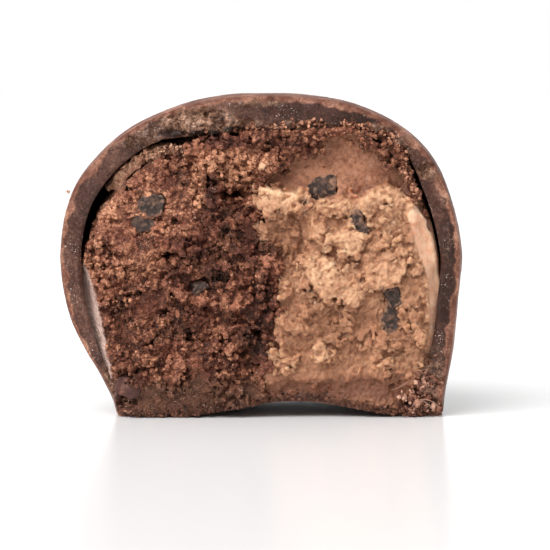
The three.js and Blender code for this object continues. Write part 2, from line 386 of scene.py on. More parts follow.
# The dome's fields over a whole grid, worked out on a coarser one and filled in.
def domeOnGrid(axes, spacing=0.45):
    starts = [a[0] - spacing for a in axes]
    coarse = [np.arange(s, a[-1] + 2 * spacing, spacing) for s, a in zip(starts, axes)]
    fields = domeFields(*np.meshgrid(*coarse, indexing="ij")).astype(np.float32)
    return [spread(f, axes, starts, (spacing,) * 3, False) for f in fields]


def softMin(a, b, k):
    h = np.maximum(k - np.abs(a - b), 0) / k
    return np.minimum(a, b) - h * h * k * 0.25


def softMax(a, b, k):
    return -softMin(-a, -b, k)


# How grains are broken: their flat sides and how far out those lie, how flat rather than round, and how far
# beyond their radius they can reach.
grainForm = {"sides": 6, "sidesOut": (0.7, 1.0), "flatness": 0.75, "margin": 0.22, "shadeMargin": 0.02}


# Adds grains with flat broken sides to a field, or bites such pores out of it where sign is -1, each only as far
# as it reaches. tone keeps each grain's shade, and jag is a cloud that makes them uneven.
def addGrains(field, tone, axes, centres, radii, shades, blend, jag, uneven, sign=1):
    g = grainForm
    rng = np.random.default_rng(len(centres))
    planes = rng.standard_normal((len(centres), g["sides"], 3))
    planes /= np.linalg.norm(planes, axis=2)[..., None] * rng.uniform(*g["sidesOut"], (len(centres), g["sides"], 1))
    reach = radii.max(axis=1) + g["margin"]
    lows = [np.searchsorted(a, centres[:, k] - reach) for k, a in enumerate(axes)]
    highs = [np.searchsorted(a, centres[:, k] + reach) for k, a in enumerate(axes)]
    for n, (centre, r) in enumerate(zip(centres, radii)):
        part = tuple(slice(low[n], high[n]) for low, high in zip(lows, highs))
        if any(p.stop <= p.start for p in part):
            continue
        dx, dy, dz = np.ix_(*((a[p] - c) / s for a, p, c, s in zip(axes, part, centre, r)))
        flat = np.max([np.abs(dx * a + dy * b + dz * c) for a, b, c in planes[n]], axis=0)
        ball = np.sqrt(dx * dx + dy * dy + dz * dz)
        grain = (g["flatness"] * flat + (1 - g["flatness"]) * ball - 1) * r.min()
        grain = grain + jag[part] * (uneven * r.min())
        if sign > 0:
            tone[part][grain < field[part] + g["shadeMargin"]] = shades[n]
            field[part] = softMin(field[part], grain, blend)
        else:
            field[part] = softMax(field[part], -grain, blend)


# The closed skin of a field's solid part: points and four-sided faces.
def skin(field, axes):
    solid = field < 0
    n = [s - 1 for s in field.shape]
    corners = list(product((0, 1), repeat=3))
    count = np.zeros(n, np.int8)
    for a, b, c in corners:
        count += solid[a:n[0] + a, b:n[1] + b, c:n[2] + c]
    cells = np.argwhere((count > 0) & (count < 8))
    index = np.full(n, -1, np.int32)
    index[tuple(cells.T)] = np.arange(len(cells))
    values = {q: field[tuple((cells + q).T)] for q in corners}
    total = np.zeros((len(cells), 3))
    hits = np.zeros(len(cells))
    # each point goes to the middle of the places where the surface crosses its cell's edges
    for p, k in product(corners, range(3)):
        if p[k]:
            continue
        q = p[:k] + (1,) + p[k + 1:]
        crosses = (values[p] < 0) != (values[q] < 0)
        place = np.tile(np.array(p, float), (len(cells), 1))
        place[:, k] = np.where(crosses, values[p] / np.where(crosses, values[p] - values[q], 1), 0)
        total += place * crosses[:, None]
        hits += crosses
    local = total / hits[:, None]
    points = np.empty((len(cells), 3))
    for k, a in enumerate(axes):
        i = cells[:, k]
        points[:, k] = a[i] + (a[i + 1] - a[i]) * local[:, k]
    faces = []
    for k in range(3):
        u, v = (k + 1) % 3, (k + 2) % 3
        at = np.argwhere(np.diff(solid, axis=k))
        at = at[(at[:, u] > 0) & (at[:, v] > 0) & (at[:, u] < n[u]) & (at[:, v] < n[v])]
        ring = []
        for du, dv in ((-1, -1), (0, -1), (0, 0), (-1, 0)):
            cell = at.copy()
            cell[:, u] += du
            cell[:, v] += dv
            ring.append(index[tuple(cell.T)])
        quads = np.stack(ring, axis=1)
        flip = ~solid[tuple(at.T)]
        quads[flip] = quads[flip][:, ::-1]
        faces.append(quads)
    return points, np.vstack(faces)


# The value of a field at points, for colouring them.
def valueAt(field, axes, points):
    spots = [np.clip(np.searchsorted(a, points[:, k]) - 1, 0, len(a) - 2) for k, a in enumerate(axes)]
    f = [(points[:, k] - a[s]) / (a[s + 1] - a[s]) for k, (a, s) in enumerate(zip(axes, spots))]
    shares = [1 - v for v in f], f
    result = 0
    for a, b, c in product((0, 1), repeat=3):
        w = shares[a][0] * shares[b][1] * shares[c][2]
        result = result + w * field[spots[0] + a, spots[1] + b, spots[2] + c]
    return result


# A mesh object from points in millimetres about the dome's axis. Faces come in sets, each with its own number
# of corners.
def makePiece(name, points, faceSets, material, attributes, flat=None):
    mesh = bpy.data.meshes.new(name)
    mesh.vertices.add(len(points))
    mesh.vertices.foreach_set("co", ((points + axisPlace) * mm).astype(np.float32).ravel())
    corners = np.concatenate([np.full(len(f), f.shape[1], np.int32) for f in faceSets])
    mesh.loops.add(int(corners.sum()))
    mesh.polygons.add(len(corners))
    mesh.loops.foreach_set("vertex_index", np.concatenate([f.ravel() for f in faceSets]).astype(np.int32))
    mesh.polygons.foreach_set("loop_start", (np.cumsum(corners) - corners).astype(np.int32))
    mesh.polygons.foreach_set("loop_total", corners)
    mesh.update(calc_edges=True)
    mesh.polygons.foreach_set("use_smooth", np.ones(len(corners), bool))
    for key, values in attributes.items():
        layer = mesh.attributes.new(key, "FLOAT", "POINT")
        layer.data.foreach_set("value", values.astype(np.float32))
    if flat is not None:
        setFlat(mesh, flat)
    mesh.materials.append(material)
    return addObject(name, mesh)


def setFlat(mesh, flat):
    mesh.uv_layers.new(name="OFBake").data.foreach_set("uv", flat.astype(np.float32).ravel())


def readAll(items, key, count, kind):
    values = np.empty(count * len(items), kind)
    items.foreach_get(key, values)
    return values


# A flat layout for colour maps, as seen from the front, with the faces that look backwards in a strip above.
def layOut(piece):
    mesh = piece.data
    points = readAll(mesh.vertices, "co", 3, np.float32).reshape(-1, 3)
    normals = readAll(mesh.polygons, "normal", 3, np.float32).reshape(-1, 3)
    corners = readAll(mesh.polygons, "loop_total", 1, np.int32)
    index = readAll(mesh.loops, "vertex_index", 1, np.int32)
    flat = points[:, (0, 2)]
    flat = ((flat - flat.min(axis=0)) / np.ptp(flat, axis=0))[index]
    backwards = np.repeat(normals[:, 1] > 0.25, corners)[:, None]
    setFlat(mesh, np.where(backwards, flat * (0.3, 0.13) + (0, 0.86), flat * (1, 0.85)))


def finishPiece(piece, slotName, *nodes):
    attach(piece, "root")
    if nodes:
        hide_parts(*nodes)


def applyModifiers(piece):
    depsgraph = bpy.context.evaluated_depsgraph_get()
    made = bpy.data.meshes.new_from_object(piece.evaluated_get(depsgraph))
    piece.modifiers.clear()
    old = piece.data
    piece.data = made
    bpy.data.meshes.remove(old)
    made.name = piece.name


def colour(r, g, b):
    def linear(c):
        c /= 255
        return c / 12.92 if c <= 0.04045 else ((c + 0.055) / 1.055) ** 2.4
    return (linear(r), linear(g), linear(b), 1)


# Builds one material's nodes in reading order. Colours are given as plain red, green and blue.
class Recipe:
    def __init__(self, name):
        self.mat, self.bsdf = newMaterial(name)
        self.place = self.add("ShaderNodeTexCoord", "Object", {})

    def add(self, kind, output, inputs, **settings):
        return addNode(self.mat.node_tree, kind, inputs, **settings).outputs[output]

    def noise(self, size, detail=4, rough=0.6):
        inputs = {"Scale": 1 / (size * mm), "Detail": detail, "Roughness": rough, "Vector": self.place}
        return self.add("ShaderNodeTexNoise", "Fac", inputs)

    def cells(self, size, output="Distance"):
        return self.add("ShaderNodeTexVoronoi", output, {"Scale": 1 / (size * mm), "Vector": self.place})

    # A different shade in each small cell, from 0 to 1.
    def granules(self, size):
        return self.add("ShaderNodeSeparateColor", "Red", {"Color": self.cells(size, "Color")})

    def attribute(self, key):
        return self.add("ShaderNodeAttribute", "Fac", {}, attribute_name=key)

    def fit(self, value, low, high, toLow=0.0, toHigh=1.0):
        limits = {"From Min": low, "From Max": high, "To Min": toLow, "To Max": toHigh}
        return self.add("ShaderNodeMapRange", "Result", {"Value": value, **limits})

    def math(self, kind, a, b):
        return self.add("ShaderNodeMath", "Value", {0: a, 1: b}, operation=kind)

    def times(self, a, b):
        return self.math("MULTIPLY", a, b)

    # Adds up values, each either as it is or as a pair of value and share.
    def total(self, *parts):
        whole = None
        for part in parts:
            value = self.times(*part) if isinstance(part, tuple) else part
            whole = value if whole is None else self.math("ADD", whole, value)
        return whole

    # Each stop is its place and its colour.
    def ramp(self, value, *stops):
        node = addNode(self.mat.node_tree, "ShaderNodeValToRGB", {"Fac": value})
        elements = node.color_ramp.elements
        while len(elements) < len(stops):
            elements.new(0.5)
        for element, (place, *shade) in zip(elements, stops):
            element.position = place
            element.color = colour(*shade)
        return node.outputs["Color"]

    def mix(self, share, a, b):
        a, b = (colour(*v) if isinstance(v, tuple) else v for v in (a, b))
        return self.add("ShaderNodeMix", "Result", {"Factor": share, "A": a, "B": b}, data_type="RGBA")

    # From one colour to another where a noise of this size lies between low and high.
    def blotches(self, size, detail, rough, low, high, a, b):
        return self.mix(self.fit(self.noise(size, detail, rough), low, high), a, b)

    # Small patches where a fine noise is high, kept to the stretches where a broad one is.
    def sparse(self, fine, broad):
        return self.times(*(self.fit(self.noise(*n[:3]), *n[3:]) for n in (fine, broad)))

    def bump(self, height, depth, before=None):
        inputs = {"Strength": 1, "Distance": depth * mm, "Height": height}
        if before:
            inputs["Normal"] = before
        return self.add("ShaderNodeBump", "Normal", inputs)

    def finish(self, base, rough, normal, specular, **others):
        fillInputs(self.mat.node_tree, self.bsdf, {"Base Color": base, "Roughness": rough, "Normal": normal,
                                                   "Specular IOR Level": specular, **others})
        return self.mat


# The bitten face, which both fillings share.
biteFace = {
    "lift": 0.25,                # the face's features sit this much higher than listed
    "rimFrom": 15.0, "rimOver": 2.6, "rimBackLeft": 1.5, "rimBackRight": 0.5,
    "floor": 0.9, "frontFloor": 0.12, "ragged": ((0.9, 0.7), (0.35, 0.4)),
    # the ledge where the torn dough ends and the tooth-smoothed top begins, left to right
    "ledge": ((-0.4, 23.3), (1, 22.8), (3, 22.5), (4.5, 22.3), (5.5, 21.3), (7, 21.2), (8.2, 21.9), (9.6, 20.9),
              (10.8, 22.1), (12.4, 22.9), (14, 22.1), (15.6, 20.2), (17, 18)),
    "doughOutline": ((0, -6), (0.1, 1.3), (0.3, 4.5), (1.7, 6), (1.3, 8.4), (2.1, 10.8), (2.4, 13.2), (1.3, 16),
                     (0.6, 18.2), (0, 20.6), (-0.1, 22.7), (1.3, 23.9), (3.4, 25), (5.2, 27.2), (8, 28.0),
                     (10.8, 27.8), (13.3, 26.6), (14.9, 24.0), (15.9, 21.4), (16.9, 19.2), (19, 17.9), (26, 17),
                     (26, -6)),
}
# Each: place on the face, half-width and half-height, how far forward, how soft its edge is.
tornBrownie = (
    (-10.8, 19.6, 5.5, 5.6, 1.05, 0.08),
    (-2.8, 22.9, 2.7, 2.3, -1.0, 0.14),
    (-2.9, 21.6, 1.4, 0.9, -0.6, 0.35),
    (-0.2, 9.0, 2.7, 4.4, -1.25, 0.4),
    (-7.6, 15.8, 2.2, 1.1, -0.75, 0.3),
    (-6.0, 9.0, 1.4, 2.2, -0.45, 0.5),
    (-11.0, 6.6, 1.3, 1.5, 0.35, 0.4),
    (-2.5, 11.2, 1.5, 1.0, 0.5, 0.2),
    (0.4, 14.8, 1.6, 1.3, 0.7, 0.3),
    (-9.4, 13.4, 1.6, 0.9, 0.35, 0.3),
    (-5.6, 25.9, 1.2, 1.0, 0.5, 0.25),
    (-1.6, 24.9, 1.9, 0.9, 0.4, 0.3),
    (-3.2, 18.6, 1.4, 0.8, 0.4, 0.3),
    (-15.0, 16.0, 1.6, 3.0, 0.3, 0.5),
    (-3.4, 14.2, 1.3, 0.8, -0.4, 0.3),
    (-5.0, 1.6, 11.0, 2.6, -0.25, 0.4),
)
tornDough = (
    (8.8, 16.6, 7.6, 6.2, 0.4, 0.6),
    (2.9, 17.2, 1.9, 2.9, -0.95, 0.35),
    (5.9, 14.4, 1.2, 2.0, 0.3, 0.3),
    (8.8, 17.6, 1.4, 1.4, 0.3, 0.3),
    (12.3, 20.6, 2.2, 1.8, 0.25, 0.4),
    (13.2, 15.4, 2.0, 1.9, 0.25, 0.35),
    (12.9, 10.2, 1.3, 2.8, -0.35, 0.4),
    (5.9, 6.2, 0.6, 1.2, 0.5, 0.3),
    (13.8, 7.6, 1.4, 1.0, 0.45, 0.3),
    (9.0, 4.0, 9.5, 3.2, -0.45, 0.4),
    (7.5, 1.6, 9.5, 1.6, -0.35, 0.4),
)
# Torn edges of the dough that overhang what is below them: the edge's places left to right, how far it stands
# out, how tall the slope above it is. A negative tall slopes away below the edge instead.
tornShelves = (
    (((4.4, 13.9), (5.0, 13.2), (5.6, 12.4), (6.3, 11.2), (7.4, 11.8), (8.4, 11.0), (9.2, 10.6), (10.2, 11.2)),
     0.75, 4.2),
    (((4.8, 17.6), (5.6, 17.2), (6.4, 15.8), (7.2, 16.6), (8.4, 15.9), (9.6, 16.2), (10.4, 17.0)), 0.5, 3.0),
    (((10.2, 13.4), (11.0, 12.8), (11.7, 12.3), (12.6, 13.3), (13.6, 12.9), (14.6, 14.8)), 0.55, 3.4),
    (((-0.2, 20.2), (0.8, 19.8), (1.7, 20.3), (2.6, 19.6), (3.8, 20.4)), 0.45, 2.2),
    (((2.0, 8.8), (3.2, 8.2), (4.3, 8.9), (5.2, 8.0)), 0.35, 1.6),
    (((8.6, 8.0), (9.8, 7.4), (10.9, 8.1), (11.8, 7.6)), 0.35, 1.8),
    (((14.0, 8.6), (14.9, 7.9), (15.8, 8.4)), 0.4, 1.8),
    (((5.3, 5.4), (5.9, 5.0), (6.5, 5.5)), 0.4, 1.6),
    (((-0.4, 23.3), (1, 22.8), (3, 22.4), (4.5, 22.0)), 0.45, -1.6),
    (((9.6, 20.9), (10.8, 22.1), (12.4, 22.8), (14, 22.0), (15.6, 20.2)), 0.5, -2.6),
    (((5.6, 21.0), (7, 20.9), (8.2, 21.6), (9.2, 20.9)), 0.4, -1.6),
)
smallShelves = {
    "count": 46, "seed": 8, "across": (1.0, 15.5), "up": (5, 21.5), "wide": (0.9, 2.4), "bend": 0.5,
    "out": (0.12, 0.38), "tall": (0.8, 1.7), "overAll": 1.6, "ragged": ((0.8, 1), (0.34, 0.8)),
}


# The torn shelves listed above, and small ones between them by chance, as how far each place stands out.
def shelfForward(x, z, ragged):
    s = smallShelves
    rng = np.random.default_rng(s["seed"])
    shelves = list(tornShelves)
    for _ in range(s["count"]):
        px, pz = rng.uniform(*s["across"]), rng.uniform(*s["up"])
        wide = rng.uniform(*s["wide"])
        bend = rng.uniform(-s["bend"], s["bend"], 4) * wide * 0.5
        line = [(px + wide * (k / 3 - 0.5), pz + bend[k]) for k in range(4)]
        shelves.append((line, rng.uniform(*s["out"]), rng.uniform(*s["tall"])))
    forward = np.zeros(x.shape)
    for line, out, tall in shelves:
        px, pz = np.array(line).T
        above = (z - biteFace["lift"] - np.interp(x, px, pz) + 0.24 * ragged) * (1 if tall > 0 else -1)
        ends = smoothStep(x, px[0] - 0.3, px[0] + 0.5) * (1 - smoothStep(x, px[-1] - 0.5, px[-1] + 0.3))
        slope = smoothStep(above, -0.06, 0.12) * (1 - smoothStep(above, 0.15 * abs(tall), abs(tall)))
        forward = forward + s["overAll"] * out * ends * slope
    return forward


# How far each place lies from the middle of an oval on the face, as a share of its half-width and half-height.
def ovalDistance(x, z, px, pz, halfWide, halfHigh):
    return np.hypot((x - px) / halfWide, (z - biteFace["lift"] - pz) / halfHigh)


# The strength at each place of soft-edged patches: the strongest one, or all of them added up.
def patchStrength(x, z, patches, added=False):
    strength = np.zeros(x.shape)
    for *oval, much in patches:
        here = much * (1 - smoothStep(ovalDistance(x, z, *oval), 0.6, 1.25))
        strength = strength + here if added else np.maximum(strength, here)
    return strength


def facePlane(x, z):
    rim = smoothStep(np.abs(x), biteFace["rimFrom"], biteFace["rimFrom"] + biteFace["rimOver"])
    back = np.where(x < 0, biteFace["rimBackLeft"], biteFace["rimBackRight"])
    return dome["biteFromAxis"] - dome["biteSlant"] * x - back * rim


# Where the smooth outer skin of each filling shows beside the torn face: pairs of height and place across.
skinEdge = {
    "brownie": ((3.6, -14.6), (5.5, -15.0), (7, -15.2), (8.5, -15.5), (10, -15.8), (12, -16.3), (14, -16.9),
                (15, -17.6)),
    "dough": ((4.4, 17.4), (5.4, 17.0), (6.8, 16.7), (9, 16.8), (12, 16.7), (14, 16.3), (16, 15.7), (18, 14.9),
              (20, 14.5), (21, 15.2), (22, 17.5)),
}


# How much of the skin shows at each place, and how far the face has turned back there.
def skinShare(x, z, edge, ragged):
    heights, across = np.array(skinEdge[edge]).T
    z = z - biteFace["lift"]
    past = (x - np.interp(z, heights, across)) * np.sign(across[0]) + 0.1 * ragged
    there = smoothStep(z, heights[0] - 0.3, heights[0] + 0.3)
    there = there * (1 - smoothStep(z, heights[-1] - 0.3, heights[-1] + 0.3))
    return smoothStep(past, -0.1, 0.1) * there, smoothStep(past, -0.15, 1.1) * there


# How far forward of the dome's axis the torn face stands, from its list of lumps and hollows.
def tornForward(x, z, lumps, ragged):
    forward = facePlane(x, z)
    for *oval, out, soft in lumps:
        d = ovalDistance(x, z, *oval) + 0.16 * ragged
        forward = forward + out * (1 - smoothStep(d, 1 - soft, 1 + soft))
    return forward


def aboveLedge(x, z, ragged):
    ledge = np.interp(x, *zip(*biteFace["ledge"])) + biteFace["lift"]
    return smoothStep(z - ledge + 0.35 * ragged, -0.22, 0.22)


# Signed distance on the face to the dough's outline, negative inside the dough.
def doughSide(x, z):
    outline = splinePoints(biteFace["doughOutline"], 8) + (0, biteFace["lift"])
    inside = np.zeros(x.shape, bool)
    nearest = np.full(x.shape, 1e9)
    for (ax, az), (bx, bz) in zip(outline, np.roll(outline, -1, axis=0)):
        ex, ez = bx - ax, bz - az
        t = np.clip(((x - ax) * ex + (z - az) * ez) / (ex * ex + ez * ez + 1e-9), 0, 1)
        nearest = np.minimum(nearest, (x - ax - t * ex) ** 2 + (z - az - t * ez) ** 2)
        crosses = (az > z) != (bz > z)
        with np.errstate(divide="ignore", invalid="ignore"):
            inside ^= crosses & (x < ax + (z - az) * ex / ez)
    return np.where(inside, -1, 1) * np.sqrt(nearest)


# The line between brownie and dough, with its small wanderings.
def ruggedSide(x, z, axes):
    return doughSide(x, z) + 0.25 * faceCloud(axes, 1.1, 21) + 0.16 * faceCloud(axes, 0.45, 22)


# Lumps that stand in the torn face: place, half-axes, turn in degrees. The fillings leave room for them.
inclusions = {
    "dough_chip_top": (6.1, 22.3, (1.7, 1.1, 1.15), 14),
    "dough_chip_middle": (9.8, 19.2, (0.8, 1.0, 1.5), 24),
    "dough_chip_side": (13.1, 11.7, (0.95, 1.0, 1.25), 12),
    "dough_chip_low": (12.8, 9.4, (0.92, 1.0, 1.6), -8),
    "brownie_chunk_top": (-10.4, 20.9, (1.6, 1.1, 1.1), 16),
    "brownie_chunk_upper": (-11.5, 19.0, (1.2, 0.9, 0.9), -30),
    "brownie_chunk_middle": (-6.1, 12.8, (1.25, 0.9, 0.95), 18),
    "coating_flake": (-13.3, 2.4, (1.15, 0.8, 0.75), -30),
}


# Where the first solid point lies in each column behind the face, and whether there is one.
def frontOf(field, axes):
    solid = field < 0
    return axes[1][solid.argmax(axis=1)], solid.any(axis=1)


# The middle depth of a field's front within a few steps round a place on the face.
def frontAt(field, axes, places, steps):
    surface = frontOf(field, axes)[0]
    found = []
    for x, z in places:
        i, k = np.searchsorted(axes[0], x), np.searchsorted(axes[2], z + biteFace["lift"])
        found.append(np.median(surface[i - steps:i + steps + 1, k - steps:k + steps + 1]))
    return found


# Scatters grains over the front of a field. where gives each face place's share of grains.
def scatterGrains(field, tone, axes, seed, kind, where, jag, sign=1):
    count, (size, spreadOut), blend, sink, uneven = kind
    rng = np.random.default_rng(seed)
    surface, there = frontOf(field, axes)
    weight = np.where(there, where, 0).ravel().astype(float)
    picks = rng.choice(weight.size, size=count, p=weight / weight.sum())
    i, k = np.unravel_index(picks, surface.shape)
    step = axes[0][1] - axes[0][0]
    r = size * np.exp(rng.normal(0, spreadOut, count)).clip(0.45, 2.4)
    centres = np.stack([
        axes[0][i] + rng.uniform(-0.5, 0.5, count) * step,
        surface[i, k] + r * (sink + rng.normal(0, 0.35, count)),
        axes[2][k] + rng.uniform(-0.5, 0.5, count) * step,
    ], axis=1)
    radii = r[:, None] * rng.uniform(0.65, 1.35, (count, 3))
    addGrains(field, tone, axes, centres, radii, rng.uniform(0, 1, count), blend, jag, uneven, sign)


# What both fillings share. Behind hiddenBehind of the face the coating hides them, and only hiddenKept of
# their faces stay there.
filling = {
    "step": 0.105, "mostFaces": 190000, "frontMost": 6.0, "hiddenBehind": 2.2, "hiddenKept": 0.05, "lowest": 0.02,
}
# Reliefs, jags, crumbs and grit are pairs of size and strength. Each kind of grain has how many there are, their
# radius and its spread, how softly they blend, how deep they sit and how uneven they are.
brownieCrumb = {
    "low": (-18.0, -6.6, -0.4), "high": (17.9, 18.4, 29.4),
    "relief": ((4.2, 0.24), (1.9, 0.14), (0.85, 0.05), (0.38, 0.02)), "ridges": ((1.6, 0.06),),
    "ledges": ((3.0, 0.24), (1.4, 0.15)), "jag": ((0.3, 1), (0.17, 0.6)),
    "clumps": (240, (0.6, 0.35), 0.12, 0.78, 0.75), "holes": (80, (0.32, 0.35), 0.12, 0.1, 0.5),
    "grains": (2400, (0.15, 0.35), 0.03, 0.72, 0.6), "pores": (380, (0.15, 0.25), 0.06, 0.1, 0.4),
    "leaning": 0.2, "crumbs": ((1.3, 0.1), (0.6, 0.06), (0.3, 0.055)), "grit": ((0.3, 0.03), (0.16, 0.05)),
}
doughCrumb = {
    "low": (-1.4, -6.9, -0.4), "high": (18.3, 18.4, 28.2),
    "relief": ((3.0, 0.2), (1.4, 0.12), (0.7, 0.03), (0.36, 0.02)), "ridges": ((1.9, 0.03),),
    "ledges": ((1.9, 0.14),), "jag": ((0.4, 1), (0.2, 0.6)),
    "clumps": (60, (0.7, 0.35), 0.3, 0.9, 0.6), "lumps": (110, (0.3, 0.35), 0.16, 0.9, 0.7),
    "pits": (40, (0.1, 0.4), 0.06, 0.1, 0.5), "pores": (14, (0.2, 0.35), 0.1, 0.05, 0.4),
    "grains": (600, (0.14, 0.35), 0.03, 0.8, 0.6),
    "leaning": 0.1, "crumbs": ((1.4, 0.07), (0.7, 0.04), (0.34, 0.035)), "grit": ((0.3, 0.035), (0.16, 0.055)),
}
# Loose-looking flakes in the brownie: place, half-axes, how far out they stand, shade.
brownieFlakes = (
    (-8.8, 4.6, (0.5, 0.5, 1.35), 0.15, 1.15), (-2.5, 11.3, (1.25, 0.6, 0.75), 0.2, 1.2),
    (-6.0, 11.4, (0.85, 0.5, 0.42), 0.2, 1.3), (0.4, 14.9, (1.2, 0.6, 0.8), 0.2, 1.1),
    (-6.2, 26.0, (1.0, 0.6, 0.8), 0.2, 1.25), (-9.6, 15.3, (0.35, 0.4, 0.35), 0.2, 1.1),
    (-8.8, 15.2, (0.3, 0.4, 0.3), 0.2, 1.1), (-3.0, 19.0, (0.7, 0.5, 0.55), 0.1, 1.2),
    (-6.3, 19.2, (0.5, 0.5, 0.75), 0.15, 1.15), (-10.2, 13.7, (0.7, 0.5, 0.5), 0.1, 1.2),
    (-13.4, 15.2, (0.8, 0.5, 0.5), 0.1, 1.1), (-9.9, 18.6, (0.6, 0.5, 0.45), 0.1, 1.2),
    (-4.0, 8.0, (0.5, 0.5, 0.6), 0.1, 1.0), (0.1, 24.5, (0.5, 0.4, 0.28), 0.25, 1.9),
)
# Deep hollows in the brownie: place, half-axes.
brownieHollows = (
    (-2.9, 21.75, 1.25, 1.5, 0.8), (-2.45, 18.75, 0.45, 1.1, 0.8), (-5.15, 22.6, 0.22, 1.2, 1.7),
    (-8.7, 15.8, 1.1, 0.9, 0.55), (-6.2, 17.4, 1.1, 0.9, 0.5), (-13.1, 4.1, 1.1, 0.9, 0.5),
    (-0.2, 8.2, 0.8, 0.9, 1.4), (0.9, 7.0, 0.7, 0.8, 0.9), (-8.2, 27.2, 1.0, 1.3, 0.45),
    (-6.6, 27.3, 1.1, 1.2, 0.55), (-4.6, 27.5, 0.9, 1.2, 0.5), (-2.6, 27.8, 0.8, 1.0, 0.4),
    (-4.2, 13.6, 0.9, 0.8, 0.5), (-9.6, 10.2, 0.7, 0.7, 0.5), (-12.2, 12.0, 0.8, 0.7, 0.4),
    (-6.9, 7.6, 0.7, 0.7, 0.5),
)


# The room that the coating leaves, how far forward the torn face stands, and the places across and up.
def fillingField(axes, lumps, seed):
    x2, z2 = np.meshgrid(axes[0], axes[2], indexing="ij")
    ragged = clouds([axes[0], axes[2]], biteFace["ragged"], seed)
    distance, wall, air = domeOnGrid(axes)
    x, y, z = np.ix_(*axes)
    front = biteFace["frontFloor"]
    floorHere = front + (biteFace["floor"] - front) * smoothStep(y, -3.6, -2.0)
    room = softMax(distance + wall + air, (floorHere - levelHeight(x, y, z)).astype(np.float32), 0.5)
    return room, tornForward(x2, z2, lumps, ragged), x2, z2, ragged


# Rolling relief, and torn crests with soft valleys between them.
def reliefOf(settings, axes, seed):
    relief = clouds(axes, settings["relief"], seed)
    for n, (size, much) in enumerate(settings["ridges"]):
        relief = relief + much * (1.6 * np.abs(cloud(axes, size, seed + 200 + n)) - 1.1)
    z = axes[2][None, None, :]
    for n, (apart, much) in enumerate(settings["ledges"]):
        step = (z + 0.9 * apart * cloud(axes, 1.3 * apart, seed + 300 + n)) / apart % 1
        overhang = 1 - step + 0.85 * smoothStep(step, 0.85, 1.0)
        here = np.clip(0.8 + 0.5 * cloud(axes, 2 * apart, seed + 310 + n), 0, 1.6)
        relief = relief - much * (overhang - 0.5) * here
    return relief


# Signed distance to a turned egg shape on part of a grid.
def eggField(axes, centre, radii, turn, blocky):
    x, y, z = np.ix_(*(a.astype(float) - c for a, c in zip(axes, centre)))
    c, s = math.cos(math.radians(turn)), math.sin(math.radians(turn))
    total = sum(np.abs(v / r) ** blocky for v, r in zip((c * x + s * z, y, c * z - s * x), radii))
    return (total ** (1 / blocky) - 1) * min(radii)


# Pockets for the lumps: how square, how much wider than the lump, how ragged, and how deep its middle lies.
pocket = {"blocky": 2.4, "wider": 0.12, "ragged": ((1.0, 0.12, 71), (0.4, 0.06, 65)), "blend": 0.06, "sunk": 0.3}
inclusionPlaces = {}


# Sinks a pocket for each lump that stands in this filling, and remembers where its middle lies.
def sinkPockets(field, axes, kinds):
    names = [name for name in inclusions if name.startswith(kinds)]
    for name, front in zip(names, frontAt(field, axes, [inclusions[name][:2] for name in names], 5)):
        x, z, radii, turn = inclusions[name]
        centre = (x, float(front) + pocket["sunk"], z + biteFace["lift"])
        inclusionPlaces[name] = centre
        reach = max(radii) + 0.4
        part = tuple(slice(*np.searchsorted(a, (c - reach, c + reach))) for a, c in zip(axes, centre))
        x, y, z = (a[p] for a, p in zip(axes, part))
        egg = eggField([x, y, z], centre, radii, turn, pocket["blocky"])
        # the pocket is open towards the front, and its ragged edge hides the lump's own
        through = eggField([x, 0 * y + centre[1], z], centre, radii, turn, pocket["blocky"])
        hollow = np.where((y < centre[1])[None, :, None], through, egg)
        edge = sum(much * cloud([x, z], size, seed) for size, much, seed in pocket["ragged"])
        field[part] = softMax(field[part], -(hollow + pocket["wider"] + edge[:, None, :]), pocket["blend"])


def brownieSolid():
    s = brownieCrumb
    axes = gridAxes(s["low"], s["high"], filling["step"], 4.4)
    room, forward, x2, z2, ragged = fillingField(axes, tornBrownie, 11)
    y = axes[1][None, :, None]
    skinned, turned = skinShare(x2, z2, "brownie", ragged)
    plainFace = (1 - skinned)[:, None, :]
    forward = forward - 1.2 * turned
    smooth = 0.85 * (1 - smoothStep(z2 + 0.7 * ragged, 2.8, 4.6))
    face = (-forward)[:, None, :] - y
    rough = reliefOf(s, axes, 12)
    room = room + 0.3 * rough * (1 - smoothStep(y, -3.5, -1.5)) * plainFace
    field = softMax(room, face + rough * (1 - np.maximum(0.55 * smooth, 0.95 * skinned))[:, None, :], 0.35)
    field = softMax(field, (-ruggedSide(x2, z2, axes))[:, None, :] - 0.12, 0.2).astype(np.float32)
    tone = np.full(field.shape, 0.5, np.float32)
    plain = field.copy()
    crumbly = (1 - 0.75 * smooth) * (1 - skinned)
    jag = clouds(axes, s["jag"], 14)
    scatterGrains(field, tone, axes, 31, s["clumps"], crumbly, jag)
    scatterGrains(field, tone, axes, 32, s["holes"], crumbly, jag, -1)
    x, z, *radii = np.array(brownieHollows).T
    places = np.stack([x, -tornForward(x, z, tornBrownie, 0) + 0.2, z + biteFace["lift"]], 1)
    addGrains(field, tone, axes, places, np.stack(radii, 1), None, 0.15, jag, 0.3, -1)
    scatterGrains(field, tone, axes, 33, s["grains"], crumbly, jag)
    scatterGrains(field, tone, axes, 34, s["pores"], crumbly, jag, -1)
    field = np.maximum(field, room - 0.08)
    fronts = frontAt(field, axes, [flake[:2] for flake in brownieFlakes], 3)
    places = np.array([(x, front + 0.55 * radii[1] - out, z + biteFace["lift"])
                       for front, (x, z, radii, out, _) in zip(fronts, brownieFlakes)])
    radii, shades = np.array([f[2] for f in brownieFlakes]), [f[4] for f in brownieFlakes]
    addGrains(field, tone, axes, places, radii, shades, 0.05, jag, 0.35)
    field = softMax(plain + (field - plain) * plainFace, -filling["frontMost"] - y, 0.4)
    sinkPockets(field, axes, ("brownie", "coating"))
    return field, tone, axes, {"forward": forward, "smooth": smooth, "rim": skinned, "lit": 0 * smooth}


